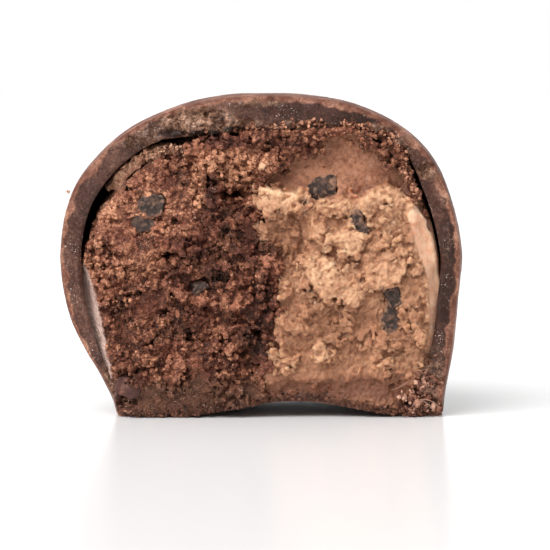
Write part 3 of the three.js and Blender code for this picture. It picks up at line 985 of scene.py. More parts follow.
def doughSolid():
    s = doughCrumb
    axes = gridAxes(s["low"], s["high"], filling["step"], 5.2)
    room, forward, x2, z2, ragged = fillingField(axes, tornDough, 41)
    y = axes[1][None, :, None]
    above = aboveLedge(x2, z2, ragged)
    forward = forward - above * (1.15 + 0.25 * smoothStep(z2, 22, 26))
    shelves = shelfForward(x2, z2, clouds(axes, smallShelves["ragged"], 46, faceCloud)) * (1 - above)
    forward = forward + shelves
    # painted light on the shelves' crests, and a little painted shade on what lies under each shelf
    shade = sum(np.roll(shelves, -n, axis=1) for n in range(2, 9)) / 7
    lit = 0.32 * shelves - 0.5 * np.maximum(shade - shelves, 0)
    skinned, turned = skinShare(x2, z2, "dough", ragged)
    forward = forward - 0.7 * turned
    band = 1 - smoothStep(z2 + 0.5 * ragged, 3.6, 5.0)
    smooth = np.maximum(above, 0.7 * band * smoothStep(z2 + 0.3 * ragged, 1.0, 2.6))
    face = (-forward)[:, None, :] - y
    rough = reliefOf(s, axes, 42)
    field = softMax(room, face + rough * (1 - 0.85 * np.maximum(0.8 * smooth, skinned))[:, None, :], 0.35)
    field = softMax(field, ruggedSide(x2, z2, axes)[:, None, :], 0.2).astype(np.float32)
    tone = np.full(field.shape, 0.5, np.float32)
    plain = field.copy()
    lumpy = (1 - 0.97 * smooth) * (1 - skinned)
    jag = clouds(axes, s["jag"], 44)
    for seed, kind, where, sign in ((51, "clumps", lumpy, 1), (52, "lumps", lumpy, 1), (53, "pores", lumpy, -1),
                                    (54, "grains", lumpy + 0.12, 1), (55, "pits", smooth + 0.02, -1)):
        scatterGrains(field, tone, axes, seed, s[kind], where, jag, sign)
    field = plain + (np.maximum(field, room - 0.05) - plain) * (1 - skinned)[:, None, :]
    field = softMax(field, -filling["frontMost"] - y, 0.4)
    sinkPockets(field, axes, "dough")
    return field, tone, axes, {"forward": forward, "smooth": smooth, "rim": skinned, "lit": lit}


# A field averaged over a small box, which shows where its surface bulges or hollows.
def blurred(field, reach):
    for k in range(3):
        padded = np.pad(field, [(reach + 1, reach) if m == k else (0, 0) for m in range(3)], mode="edge")
        total = np.cumsum(padded, axis=k, dtype=np.float64)
        ahead = np.take(total, range(2 * reach + 1, total.shape[k]), axis=k)
        behind = np.take(total, range(0, total.shape[k] - 2 * reach - 1), axis=k)
        field = ((ahead - behind) / (2 * reach + 1)).astype(np.float32)
    return field


def pointNormals(points, quads):
    across = np.cross(points[quads[:, 2]] - points[quads[:, 0]], points[quads[:, 3]] - points[quads[:, 1]])
    normals = np.zeros(points.shape)
    for k in range(3):
        for corner in range(4):
            normals[:, k] += np.bincount(quads[:, corner], across[:, k], len(points))
    return normals / np.maximum(np.linalg.norm(normals, axis=1), 1e-9)[:, None]


# Thinning can push a hidden corner out into the coating's wall, so each one that strays is drawn back in.
def keepInside(piece):
    vertices = piece.data.vertices
    points = readAll(vertices, "co", 3, float).reshape(-1, 3) / mm - axisPlace
    distance, wall, air = domeFields(*points.T)
    stray = np.where(points[:, 1] > -1, np.maximum(distance + wall + air, 0), 0)
    inward = np.array((0, 0, 14.0)) - points
    inward /= np.linalg.norm(inward, axis=1)[:, None]
    points += stray[:, None] * inward
    vertices.foreach_set("co", ((points + axisPlace) * mm).ravel())
    piece.data.update()
    print(piece.name, "corners drawn back in:", int((stray > 0.05).sum()))


def thinOut(piece, ratio, **settings):
    thin = piece.modifiers.new("thin", "DECIMATE")
    thin.ratio = ratio
    for key, value in settings.items():
        setattr(thin, key, value)
    applyModifiers(piece)


# How high the fine crumbs stand at points, and the given shades with the crumbs' own laid over them. The points
# are warped first, so that the crumbs aren't round.
def fineCrumbs(points, shade, settings):
    raised = np.zeros(len(points))
    for n, (size, high) in enumerate(settings["crumbs"]):
        warp = [0.28 * cloudAt(points, size, 111 + seed) + 0.16 * cloudAt(points, 0.4 * size, 131 + seed)
                for seed in range(3 * n, 3 * n + 3)]
        away, grainShade, lean = grainsAt(points + np.stack(warp, axis=1) * size, size, 101 + n)
        top = 1 - smoothStep(away, 0.36, 0.76)
        raised += high * (top * (0.4 + 1.2 * grainShade) - 0.55) + settings["leaning"] * size * lean
        shade = np.where(shade > 0.99, shade, 0.68 * shade + 0.32 * grainShade)
    for n, (size, much) in enumerate(settings["grit"]):
        raised += much * cloudAt(points, size, 121 + n)
    return raised, shade


# Takes the skin of a filling, raises fine grains on it, thins out what the coating hides, and keeps each
# point's shade, height and smoothness for colouring.
def fillingPiece(name, solid, settings, material):
    field, tone, axes, maps = solid
    points, faces = skin(field, axes)

    def onFace(key):
        i, k = (np.clip(np.round((points[:, m] - axes[m][0]) / filling["step"]).astype(int), 0, len(axes[m]) - 1)
                for m in (0, 2))
        return maps[key][i, k]
    forward, rim = onFace("forward"), onFace("rim")
    behind = points[:, 1] > -forward + filling["hiddenBehind"]
    roughness = (1 - 0.6 * onFace("smooth")) * (1 - 0.86 * rim) * ~behind
    # how each place bulges or hollows, for painted light on bulges and painted shade in hollows
    near = np.clip(field, -0.6, 0.6)
    crest = 0.4 * valueAt(blurred(near, 3), axes, points) / 0.12 + 0.8 * valueAt(blurred(near, 9), axes, points) / 0.3
    raised, shade = fineCrumbs(points, valueAt(tone, axes, points), settings)
    # crumb heights and how far each place stands out: painted light on what stands out, painted shade on what lies
    # back
    peak = raised / sum(high for size, high in settings["crumbs"])
    proud = -forward - points[:, 1]
    points = points + pointNormals(points, faces) * (raised * roughness)[:, None]
    points[:, 2] = np.maximum(points[:, 2], filling["lowest"])
    under = levelHeight(*points.T) + 0.3 * cloudAt(points, 0.9, 128) + 0.2 * cloudAt(points, 0.35, 129)
    # real stains mixed with painted light and shade, with the painted light and shade of the dough's shelves added
    stain = patchStrength(points[:, 0], points[:, 2], settings["stains"], added=True) + onFace("lit")
    attributes = {"tone": shade, "peak": peak, "proud": np.clip(proud, -2, 2), "smooth": onFace("smooth"),
                  "stain": stain, "rim": rim, "crest": np.clip(crest, -2, 2),
                  "under": 1 - smoothStep(under, 0.5, 1.15)}
    piece = makePiece(name, points, [faces], material, attributes)
    hidden = piece.vertex_groups.new(name="hidden")
    hidden.add(np.flatnonzero(behind).tolist(), 1, "REPLACE")
    thinOut(piece, filling["hiddenKept"], vertex_group="hidden", vertex_group_factor=1000)
    piece.vertex_groups.clear()
    triangles = len(piece.data.loops) - 2 * len(piece.data.polygons)
    thinOut(piece, min(1, filling["mostFaces"] / triangles))
    keepInside(piece)
    layOut(piece)
    print(name, len(faces), "faces before,", len(piece.data.polygons), "after")
    return piece


# Broad lighter and darker places: place, half-width, half-height, how much lighter.
# Some are the crumbs' own colour and some are painted light and shade.
brownieCrumb["stains"] = (
    # painted shade beside the dough, right of the block and under the top seam; painted light on the block's edge
    (-11.5, 19.0, 4.6, 5.6, 0.4), (-15.6, 20.6, 1.6, 1.4, 0.35), (-16.2, 14.6, 1.4, 1.8, 0.4),
    (-10.3, 17.2, 2.6, 0.7, -0.45), (-9.8, 18.7, 0.8, 0.5, 0.5), (-14.0, 17.6, 1.6, 0.8, -0.25),
    (-3.0, 25.0, 4.5, 1.8, 0.7), (-1.8, 22.6, 1.6, 1.6, 0.3), (-13.5, 13.0, 2.0, 2.5, 0.25),
    (-9.5, 6.5, 3.0, 1.6, 0.05), (-3.2, 19.5, 2.6, 2.0, -0.25), (0.2, 9.0, 2.2, 4.2, -0.55),
    (-6.5, 9.3, 2.2, 1.7, -0.25), (-1.5, 17.0, 3.0, 2.0, -0.25), (-6.8, 16.6, 2.2, 1.2, -0.6),
    (-4.2, 13.6, 1.6, 1.2, -0.4), (-6.1, 22.4, 0.8, 2.6, 0.8), (-4.7, 22.2, 0.6, 2.2, -1.3),
    (-2.4, 23.4, 2.0, 1.2, 0.3), (-11.5, 12.4, 2.6, 1.0, -0.25), (-5.2, 27.0, 4.6, 0.7, -0.7),
    (-8.0, 13.6, 1.5, 1.0, -0.3), (14.8, 23.4, 1.4, 3.0, 0.35), (-12.5, 3.6, 1.4, 1.0, -0.4),
)
doughCrumb["stains"] = (
    # painted shade in the dough's upper-left hollow and over its lower part
    (12.0, 20.5, 3.5, 2.4, 0.3), (2.0, 22.0, 2.4, 1.2, 0.7), (6.0, 14.8, 1.4, 2.2, 0.45),
    (9.0, 17.5, 1.6, 1.5, 0.35), (2.6, 17.4, 2.4, 3.0, -0.45), (3.6, 11.0, 2.6, 2.4, -0.25),
    (8.0, 8.0, 9.0, 2.6, -0.35), (5.9, 6.1, 0.9, 1.5, 0.6), (13.5, 9.6, 1.5, 3.6, -0.25),
    (15.6, 10.6, 0.9, 1.2, -0.35), (9.5, 14.0, 1.8, 1.4, -0.15), (7.0, 21.5, 2.0, 1.0, 0.2),
    (7.0, 1.8, 9.0, 1.8, -0.7), (12.0, 3.2, 3.0, 1.4, -0.3), (3.0, 3.6, 3.0, 1.2, 0.1), (8.5, 24.6, 5.0, 2.4, 0.15),
)


def brownieMaterial():
    m = Recipe("brownieCrumb")
    tone = m.attribute("tone")
    # painted light on grain tops and crests, painted shade between grains and in hollows, plus the stains and shade
    shade = m.total((tone, 0.2), (m.noise(0.42, 6, 0.8), 0.42), (m.granules(0.17), 0.24),
                    (m.fit(m.attribute("peak"), -0.4, 0.7), 0.1), (m.attribute("stain"), 0.26),
                    m.fit(m.attribute("crest"), -1.2, 1.2, -0.05, 0.1))
    crumb = m.ramp(shade, (0.3, 52, 25, 14), (0.46, 88, 47, 30), (0.62, 136, 79, 53), (0.82, 224, 160, 122))
    broad = m.fit(m.noise(2.4, 3, 0.5), 0.42, 0.6)
    crumb = m.mix(m.times(broad, 0.35), crumb, (126, 64, 46))
    flake = m.blotches(0.3, 4, 0.7, 0.35, 0.65, (118, 66, 46), (192, 124, 92))
    crumb = m.mix(m.fit(tone, 0.97, 1.03), crumb, flake)
    crumb = m.mix(m.fit(tone, 1.4, 1.5), crumb, (226, 176, 138))
    pressed = m.blotches(0.6, 6, 0.75, 0.34, 0.64, (62, 35, 22), (110, 70, 48))
    base = m.mix(m.times(m.attribute("smooth"), 0.9), crumb, pressed)
    under = m.blotches(0.35, 4, 0.7, 0.4, 0.6, (52, 28, 19), (108, 66, 46))
    base = m.mix(m.times(m.attribute("under"), 0.75), base, under)
    # painted shade: darker the further the face lies back
    base = m.mix(m.fit(m.attribute("proud"), -0.2, -1.1, 0, 0.55), base, (46, 27, 18))
    # painted glints: tiny pale painted highlights
    paintedGlints = m.sparse((0.13, 2, 0.5, 0.63, 0.71), (1.5, 2, 0.5, 0.42, 0.56))
    base = m.mix(m.times(paintedGlints, 0.75), base, (226, 186, 160))
    bloom = m.blotches(0.3, 5, 0.75, 0.35, 0.65, (176, 141, 126), (218, 188, 176))
    base = m.mix(m.attribute("rim"), base, bloom)
    normal = m.bump(m.noise(0.16, 4, 0.75), 0.09)
    normal = m.bump(m.math("SUBTRACT", 1.0, m.cells(0.25)), 0.12, normal)
    normal = m.bump(m.math("SUBTRACT", 1.0, m.cells(0.13)), 0.04, normal)
    return m.finish(base, m.fit(m.noise(0.3, 3), 0.3, 0.7, 0.42, 0.75), normal, 0.4)


def doughMaterial():
    m = Recipe("cookieDough")
    smooth, stain, crest = m.attribute("smooth"), m.attribute("stain"), m.attribute("crest")
    # painted light on what stands out, on grain tops and crests, painted shade in what lies back, plus stains and
    # shade
    shade = m.total((m.attribute("tone"), 0.08), (m.noise(0.9, 6, 0.68), 0.41), (m.granules(0.2), 0.06),
                    (m.fit(m.attribute("peak"), -0.4, 0.7), 0.05), m.fit(m.attribute("proud"), -0.9, 0.7, 0.06, 0.13),
                    (stain, 0.24), m.fit(crest, -1.1, 1.1, 0.0, 0.06))
    lumps = m.ramp(shade, (0.24, 136, 89, 63), (0.44, 174, 125, 93), (0.6, 203, 157, 122), (0.82, 236, 199, 160))
    rusty = m.fit(m.noise(1.7, 3, 0.6), 0.6, 0.72)
    lumps = m.mix(m.times(rusty, 0.35), lumps, (168, 104, 78))
    # the smear's own streaks, with painted light on its bulges and painted shade in its hollows
    streak = m.total((m.noise(1.6, 6, 0.72), 0.5), (m.noise(0.4, 6, 0.8), 0.5), (stain, 0.34),
                     m.fit(crest, -0.6, 0.6, -0.1, 0.1))
    pressed = m.ramp(streak, (0.34, 104, 60, 40), (0.48, 144, 92, 65), (0.6, 176, 122, 92))
    # painted sparkle: pale painted highlights on the pressed smear
    paintedSparkle = m.sparse((0.14, 3, 0.7, 0.6, 0.72), (1.2, 2, 0.5, 0.42, 0.6))
    pressed = m.mix(m.times(paintedSparkle, 0.6), pressed, (222, 176, 146))
    base = m.mix(smooth, lumps, pressed)
    under = m.blotches(0.35, 4, 0.7, 0.4, 0.6, (58, 32, 22), (116, 73, 52))
    base = m.mix(m.times(m.attribute("under"), 0.95), base, under)
    pale = m.blotches(0.8, 5, 0.6, 0.35, 0.65, (238, 176, 140), (254, 208, 176))
    base = m.mix(m.attribute("rim"), base, pale)
    normal = m.bump(m.noise(0.18, 4, 0.75), 0.065)
    normal = m.bump(m.math("SUBTRACT", 1.0, m.cells(0.24)), 0.035, normal)
    return m.finish(base, m.fit(smooth, 0, 1, 0.62, 0.36), normal, 0.35, **{
        "Subsurface Weight": 0.6, "Subsurface Scale": 0.0011, "Subsurface Radius": (1.0, 0.82, 0.7)})


brownie = fillingPiece("brownieFilling", brownieSolid(), brownieCrumb, brownieMaterial())
finishPiece(brownie, "brownie", "brownie")
dough = fillingPiece("doughFilling", doughSolid(), doughCrumb, doughMaterial())
finishPiece(dough, "cookie_dough", "cookie_dough")

# The dark lumps in the fillings: how square, how jagged, how far they stand out, how dusty their edges are.
lumpLook = {
    "step": 0.075, "dust": ((0.5, 0.16), (0.2, 0.12)), "dustFrom": 0.82, "dustTo": 1.2,
    "chip": {"blocky": 2.4, "jag": ((1.1, 0.22), (0.5, 0.1), (0.25, 0.05)), "proud": 0.1},
    "flake": {"blocky": 7, "jag": ((1.5, 0.22), (0.6, 0.12)), "proud": 0.3},
}


def lumpPiece(name, look, material):
    x, z, radii, turn = inclusions[name]
    centre = inclusionPlaces[name]
    reach = max(radii) + 0.35
    axes = [np.arange(c - reach, c + reach, lumpLook["step"]) for c in centre]
    field = eggField(axes, centre, radii, turn, look["blocky"])
    seed = int(abs(x) * 10 + z)
    for n, (size, much) in enumerate(look["jag"]):
        field = field + much * cloud(axes, size, seed + n)
    front = cloud([axes[0], axes[2]], 0.6, seed + 5)[:, None, :] * 0.07
    field = softMax(field, centre[1] - 0.3 - look["proud"] + front - axes[1][None, :, None], 0.12)
    points, faces = skin(field, axes)
    shade = grainsAt(points, 0.3, seed)[1]
    c, t = math.cos(math.radians(turn)), math.sin(math.radians(turn))
    dx, dz = points[:, 0] - x, points[:, 2] - centre[2]
    out = np.hypot((c * dx + t * dz) / radii[0], (c * dz - t * dx) / radii[2])
    for n, (size, much) in enumerate(lumpLook["dust"]):
        out = out + much * cloudAt(points, size, seed + 7 + n)
    dust = smoothStep(out, lumpLook["dustFrom"], lumpLook["dustTo"])
    return makePiece(name.title().replace("_", ""), points, [faces], material, {"tone": shade, "dust": dust})


def chipMaterial(name, dusting):
    m = Recipe(name)
    shade = m.total((m.attribute("tone"), 0.35), (m.noise(0.5, 5, 0.7), 0.65))
    base = m.ramp(shade, (0.34, 38, 27, 22), (0.5, 66, 48, 40), (0.62, 100, 74, 60), (0.8, 158, 120, 98))
    base = m.mix(m.times(m.attribute("dust"), 0.85), base, dusting)
    return m.finish(base, 0.55, m.bump(m.noise(0.2, 4, 0.7), 0.06), 0.35)


def flakeMaterial():
    m = Recipe("chocolateFlake")
    base = m.ramp(m.noise(0.9, 5, 0.6), (0.34, 60, 35, 30), (0.54, 86, 53, 46), (0.68, 132, 90, 74))
    return m.finish(base, 0.5, m.bump(m.noise(0.3, 3, 0.6), 0.03), 0.3)


inDough, inBrownie = chipMaterial("chipInDough", (176, 130, 102)), chipMaterial("chipInBrownie", (112, 72, 53))
for lump in inclusions:
    if lump == "coating_flake":
        piece = lumpPiece(lump, lumpLook["flake"], flakeMaterial())
        finishPiece(piece, "coating", lump)
    else:
        piece = lumpPiece(lump, lumpLook["chip"], inDough if lump.startswith("dough") else inBrownie)
        finishPiece(piece, "chip", lump)
print("chips made")

# The chocolate coating, with its cut edge at the bite.
coatingShape = {
    "columns": 900, "acrossCut": 24, "outsideRows": 44, "insideRows": 12,
    "eye": 11.0,             # height on the axis that its rows look out from
    "floorThick": 0.6, "floorRound": 0.5,
    "baseRecess": 1.3,       # how far the floor's front edge lies behind the bite
    "baseColumns": 0.4,      # how many columns a stretch of the base gets, beside the same length elsewhere
    "cornerRound": 0.35, "leftBack": 1.3,
    "waves": ((3.4, 0.2), (1.2, 0.08), (0.4, 0.02)),
    "crumbs": ((0.9, 0.3), (0.45, 0.28), (0.25, 0.14)), "sideways": 0.1,
    "ragged": ((1.2, 0.6), (0.45, 0.4)), "edgeChips": 0.5, "innerChips": 0.18, "edgeBand": 0.48,
    "dips": ((6.0, 0.05), (2.2, 0.02)), "sunk": 0.08,
}
# Where the cut is crumbly rather than smooth: place on the face, half-width, half-height, strength.
crumblyPatches = (
    (-6.2, 29.0, 4.0, 1.5, 1.3), (-12.0, 27.4, 2.6, 1.1, 0.6), (0.0, 31.0, 2.6, 0.6, 0.7),
    (-3.0, 28.7, 3.2, 0.7, 1.3), (3.5, 28.6, 3.5, 0.5, 0.7), (16.5, 24.2, 1.0, 1.0, 1.0),
    (13.9, 26.8, 1.0, 1.4, 0.9), (11.5, 28.2, 1.5, 0.6, 0.7), (16.8, 2.6, 2.6, 4.0, 0.7),
    (-18.9, 21.8, 0.5, 1.4, 0.5), (18.4, 16.8, 0.5, 2.4, 0.3), (-15.2, 3.2, 1.0, 1.8, 0.8),
)
# Partly the cut's own colour, partly painted shade in the seam crevices and on the right wall.
# Lighter and darker stretches of the cut: place, half-width, half-height, how much lighter.
coatingStainsAndShade = (
    (-19.0, 15.0, 2.0, 8.0, 0.15), (-15.5, 25.5, 3.0, 3.0, 0.3), (-7.0, 30.0, 4.0, 1.8, 0.7),
    (0.5, 31.2, 2.5, 0.6, 0.8), (-8.6, 27.9, 1.3, 0.35, -3), (-5.4, 27.8, 1.6, 0.4, -4),
    (-2.4, 28.2, 1.2, 0.35, -4), (-4.2, 29.3, 0.7, 0.5, -1.5), (19.0, 13.0, 1.6, 9.0, -0.6),
    (8.0, 30.2, 7.0, 1.6, -0.4), (17.6, 23.0, 1.6, 2.0, 0.25), (16.5, 2.5, 3.0, 3.0, 0.0),
)


# How far in front of the dome's axis the coating is cut.
def coatingFront(x, z):
    s = coatingShape
    return dome["biteFromAxis"] - dome["biteSlant"] * x - s["leftBack"] * smoothStep(-x, 15.5, 18.5)


def coatingOutside(x, y, z):
    return softMax(domeFields(x, y, z)[0], -levelHeight(x, y, z), coatingShape["cornerRound"])


def coatingInside(x, y, z):
    distance, wall, air = domeFields(x, y, z)
    return softMax(distance + wall, coatingShape["floorThick"] - levelHeight(x, y, z), coatingShape["floorRound"])


# How far along each ray, from its start, the surface lies.
def reachTo(surface, placeAt, shape, nearest=3.0, furthest=30.0):
    low, high = np.full(shape, nearest), np.full(shape, furthest)
    for _ in range(26):
        middle = (low + high) / 2
        outside = surface(*placeAt(middle)) > 0
        high = np.where(outside, middle, high)
        low = np.where(outside, low, middle)
    return (low + high) / 2


# Where rays at these angles in the plane of the cut meet a surface, with the cut set back by recess.
def meetOnCut(surface, angle, recess):
    def place(r):
        x, z = r * np.cos(angle), coatingShape["eye"] + r * np.sin(angle)
        return x, -(coatingFront(x, z) - recess), z
    return np.stack(place(reachTo(surface, place, angle.shape)), axis=1)


# The outer and inner edges of the cut, in columns evenly spaced round the loop and sparser along the base.
def cutEdges():
    s = coatingShape
    angle = np.linspace(-math.pi / 2, 1.5 * math.pi, 2400)
    x, _, z = meetOnCut(coatingOutside, angle, 0).T
    length = np.hypot(np.diff(x), np.diff(z)) * np.where(z[1:] < 0.6, s["baseColumns"], 1.0)
    along = np.concatenate([[0], np.cumsum(length)])
    angle = np.interp(np.linspace(0, along[-1], s["columns"], endpoint=False), along, angle)
    recess = s["baseRecess"] * (1 - smoothStep(meetOnCut(coatingOutside, angle, 0)[:, 2], 0.5, 2.2))
    return meetOnCut(coatingOutside, angle, recess), meetOnCut(coatingInside, angle, recess)


# Rows of points swept from the cut's edge to the back along a surface.
def sweepBack(edge, surface, rows, power):
    eye = coatingShape["eye"]
    start = edge - (0, 0, eye)
    start = start / np.linalg.norm(start, axis=1)[:, None]
    turn = np.arccos(start[:, 1])
    t = (np.arange(1, rows + 1) / rows)[:, None] ** power
    a = np.sin((1 - t) * turn) / np.sin(turn)
    b = np.sin(t * turn) / np.sin(turn)
    way = (a[..., None] * start[None] + b[..., None] * np.array((0.0, 1.0, 0.0)))[:-1]

    def place(r):
        return r * way[..., 0], r * way[..., 1], eye + r * way[..., 2]
    return np.stack(place(reachTo(surface, place, way.shape[:2])), axis=-1)


# Faces and a flat layout for rings of points that are closed at both ends with a point each.
def ringFaces(count, columns):
    ring = np.arange(columns)
    after = np.roll(ring, -1)
    row = np.arange(count - 1)[:, None] * columns
    quads = np.stack([row + ring, row + after, row + columns + after, row + columns + ring], axis=-1).reshape(-1, 4)
    across, up = np.meshgrid(ring / columns, np.arange(count - 1) / count)
    step = np.array(((0, 0), (1, 0), (1, 1), (0, 1))) / (columns, count)
    flat = (np.stack([across, up + 0.5 / count], axis=-1)[:, :, None] + step).reshape(-1, 2)
    pole, last = count * columns, (count - 1) * columns
    first = np.stack([np.full(columns, pole), after, ring], axis=1)
    final = np.stack([np.full(columns, pole + 1), last + ring, last + after], axis=1)
    ends = [np.full((3 * columns, 2), (0.5, height)) for height in (0.2 / count, 1 - 0.2 / count)]
    return [quads, np.concatenate([first, final])], np.concatenate([flat] + ends)


def coatingMesh():
    s = coatingShape
    outer, inner = cutEdges()
    ragged = cloudsAt(outer, s["ragged"], 61)
    chips = s["edgeChips"] * np.clip(0.25 + 0.5 * ragged, 0, 1.4)

    # the cut, from its outer edge to its inner edge
    share = np.linspace(0, 1, s["acrossCut"] + 1)
    cut = outer[None] * (1 - share[:, None, None]) + inner[None] * share[:, None, None]
    wide = np.linalg.norm(outer - inner, axis=1)
    fromOuter, fromInner = share[:, None] * wide, (1 - share[:, None]) * wide
    flat = cut.reshape(-1, 3)
    crumbly = patchStrength(flat[:, 0], flat[:, 2], crumblyPatches)
    relief = cloudsAt(flat, s["waves"], 63) + crumbly * cloudsAt(flat, s["crumbs"], 73)
    edges = chips * (1 - smoothStep(fromOuter, 0, 0.55)) + s["innerChips"] * (1 - smoothStep(fromInner, 0, 0.4))
    cut[..., 1] += (relief.reshape(fromOuter.shape) + edges) * np.minimum(1, wide / 0.8)
    sideways = crumbly.reshape(fromOuter.shape) * s["sideways"] * smoothStep(fromOuter, 0.1, 0.8)
    flat = cut.reshape(-1, 3)
    for k, seed in ((0, 81), (2, 82)):
        cut[..., k] += sideways * cloudAt(flat, 0.4, seed).reshape(sideways.shape)

    outside = sweepBack(cut[0], coatingOutside, s["outsideRows"], 1.35)
    inside = sweepBack(cut[-1], coatingInside, s["insideRows"], 1.1)
    flat = outside.reshape(-1, 3)
    out = flat - (0, 0, s["eye"])
    out /= np.linalg.norm(out, axis=1)[:, None]
    dips = cloudsAt(flat, s["dips"], 91) * smoothStep(flat[:, 2], 0.5, 3)
    outside = (flat + out * (dips - s["sunk"])[:, None]).reshape(outside.shape)

    rings = np.concatenate([outside[::-1], cut, inside])
    poles = np.stack([outside[-1].mean(axis=0), inside[-1].mean(axis=0)])
    points = np.concatenate([rings.reshape(-1, 3), poles])
    band = s["edgeBand"] * np.clip(0.9 + 0.7 * ragged, 0.1, 2.6) * smoothStep(wide, 0.5, 1.4)
    before, after = outside.shape[0] * outside.shape[1], inside.shape[0] * inside.shape[1]
    onCut = smoothStep(fromOuter - band, -0.25, 0.3).ravel()
    marks = {
        "cutFace": np.concatenate([np.zeros(before), onCut, np.ones(after), (0, 1)]),
        "crumbly": np.concatenate([np.zeros(before), crumbly, np.zeros(after + 2)]),
        "stain": patchStrength(points[:, 0], points[:, 2], coatingStainsAndShade, added=True),
        "scuffed": 1 - smoothStep(points[:, 1] + dome["biteFromAxis"], 2.0, 8.0),
    }
    faceSets, layout = ringFaces(*rings.shape[:2])
    return points, faceSets, marks, layout


def coatingMaterial():
    m = Recipe("chocolateCoating")
    cutFace, scuffed, stain = m.attribute("cutFace"), m.attribute("scuffed"), m.attribute("stain")
    streaks, fine = m.noise(2.6, 6, 0.62), m.noise(0.3, 4, 0.7)
    dusty = m.total((streaks, 0.6), (m.noise(0.22, 4, 0.7), 0.4))
    scuffs = m.ramp(dusty, (0.36, 80, 46, 36), (0.5, 116, 74, 59), (0.64, 178, 132, 108))
    outside = m.mix(scuffed, m.ramp(streaks, (0.3, 70, 40, 31), (0.7, 90, 54, 42)), scuffs)
    # the stains carry the cut's own colour and painted shade in its crevices and on its right wall
    shade = m.total((streaks, 0.55), (fine, 0.45), (stain, 0.16), m.fit(m.granules(0.17), 0, 1, -0.045, 0.045))
    snapped = m.ramp(shade, (0.36, 47, 29, 23), (0.5, 73, 47, 39), (0.66, 113, 80, 67), (0.85, 196, 158, 138))
    crumbs = m.ramp(m.total(m.noise(0.36, 4, 0.78), (stain, 0.08)),
                    (0.36, 42, 27, 21), (0.48, 98, 69, 55), (0.6, 152, 115, 93), (0.76, 206, 168, 143))
    snapped = m.mix(m.math("MINIMUM", m.attribute("crumbly"), 1.0), snapped, crumbs)
    base = m.mix(m.fit(cutFace, 0.2, 0.8), outside, snapped)
    # a pale broken painted highlight where the outside turns into the cut, as on a lit bevel
    edgeHighlight = m.times(m.fit(cutFace, 0.02, 0.12), m.fit(cutFace, 0.6, 0.3))
    edgeHighlight = m.times(edgeHighlight, m.fit(m.noise(0.6, 5, 0.75), 0.46, 0.58))
    base = m.mix(m.times(edgeHighlight, 0.24), base, (196, 142, 110))
    specks = m.sparse((0.17, 2, 0.5, 0.64, 0.72), (2.4, 2, 0.5, 0.46, 0.58))
    base = m.mix(m.times(specks, m.fit(cutFace, 0, 1, 0.2, 0.8)), base, (222, 200, 186))
    rough = m.total(m.fit(fine, 0.3, 0.7, 0.3, 0.44), (m.fit(cutFace, 0, 1, 0.16, 0), scuffed))
    normal = m.bump(m.noise(0.16, 2, 0.6), 0.02, m.bump(m.noise(0.7, 5, 0.6), 0.05))
    return m.finish(base, rough, normal, 0.2)


points, faceSets, marks, flat = coatingMesh()
coating = makePiece("chocolateCoating", points, faceSets, coatingMaterial(), marks, flat)
finishPiece(coating, "coating", "coating")
print("coating", sum(len(f) for f in faceSets), "faces")

# The lip of filling and chocolate lifted under the coating at the upper left.
lip = {
    "fromPlace": (-15.6, 22.6), "toPlace": (-8.8, 27.2), "deep": 5.0, "airOutside": 0.66, "thick": 1.15,
    "along": 180, "back": 60, "frayed": 0.35, "endsBack": 0.9, "radius": 19,
}


def lipSurface(x, y, z):
    distance, wall, air = domeFields(x, y, z)
    return distance + wall + lip["airOutside"]


def lipMesh():
    s = lip
    eye = coatingShape["eye"]
    first, last = (math.atan2(z + biteFace["lift"] - eye, x) for x, z in (s["fromPlace"], s["toPlace"]))
    along = np.linspace(0, 1, s["along"])
    angle = first + (last - first) * along
    front = np.stack([np.cos(angle) * s["radius"], 0 * angle, np.sin(angle) * s["radius"]], axis=1)
    frayed = s["frayed"] * cloudsAt(front, ((1.3, 0.6), (0.4, 0.4)), 131)
    ends = (smoothStep(along, 0, 0.18) * (1 - smoothStep(along, 0.86, 1)))[:, None]
    angle, back = np.meshgrid(angle, np.linspace(0, 1, s["back"]) ** 1.6, indexing="ij")
    forward = dome["biteFromAxis"] + 0.05 + frayed[:, None] * (1 - back) ** 6 - s["deep"] * back
    forward = forward - (1 - ends) * s["endsBack"]

    def place(r):
        return r * np.cos(angle), -forward, eye + r * np.sin(angle)
    r = reachTo(lipSurface, place, angle.shape)
    flat = np.stack(place(r), axis=-1).reshape(-1, 3)
    grains = 0.07 * (1 - smoothStep(grainsAt(flat, 0.4, 138)[0], 0.2, 0.7)) + 0.04 * cloudAt(flat, 0.16, 139)
    thick = s["thick"] * (0.25 + 0.75 * ends) * (0.88 + 0.12 * smoothStep(back, 0, 0.15))
    layers = []
    for side in (0, 1):
        wavy = 0.13 * cloudAt(flat, 1.6, 133)
        wavy = wavy + 0.1 * cloudAt(flat, 0.7, 134 + side) + 0.05 * cloudAt(flat, 0.3, 136 + side) + grains
        layers.append(np.stack(place(r + wavy.reshape(r.shape) - side * thick), axis=-1).reshape(-1, 3))
    rows, columns = angle.shape
    half = rows * columns
    start = np.arange(half).reshape(rows, columns)[:-1, :-1].ravel()
    top = np.stack([start, start + 1, start + columns + 1, start + columns], axis=1)

    def strip(edge):
        return np.stack([edge[1:], edge[:-1], edge[:-1] + half, edge[1:] + half], axis=1)
    r, c = np.arange(rows) * columns, np.arange(columns)
    rim = [strip(r), strip(r + columns - 1)[:, ::-1], strip(c)[:, ::-1], strip(c + (rows - 1) * columns)]
    faces = np.concatenate([top, top[:, ::-1] + half] + rim)
    return np.concatenate(layers), [faces], {"below": np.repeat((0.0, 1.0), half)}


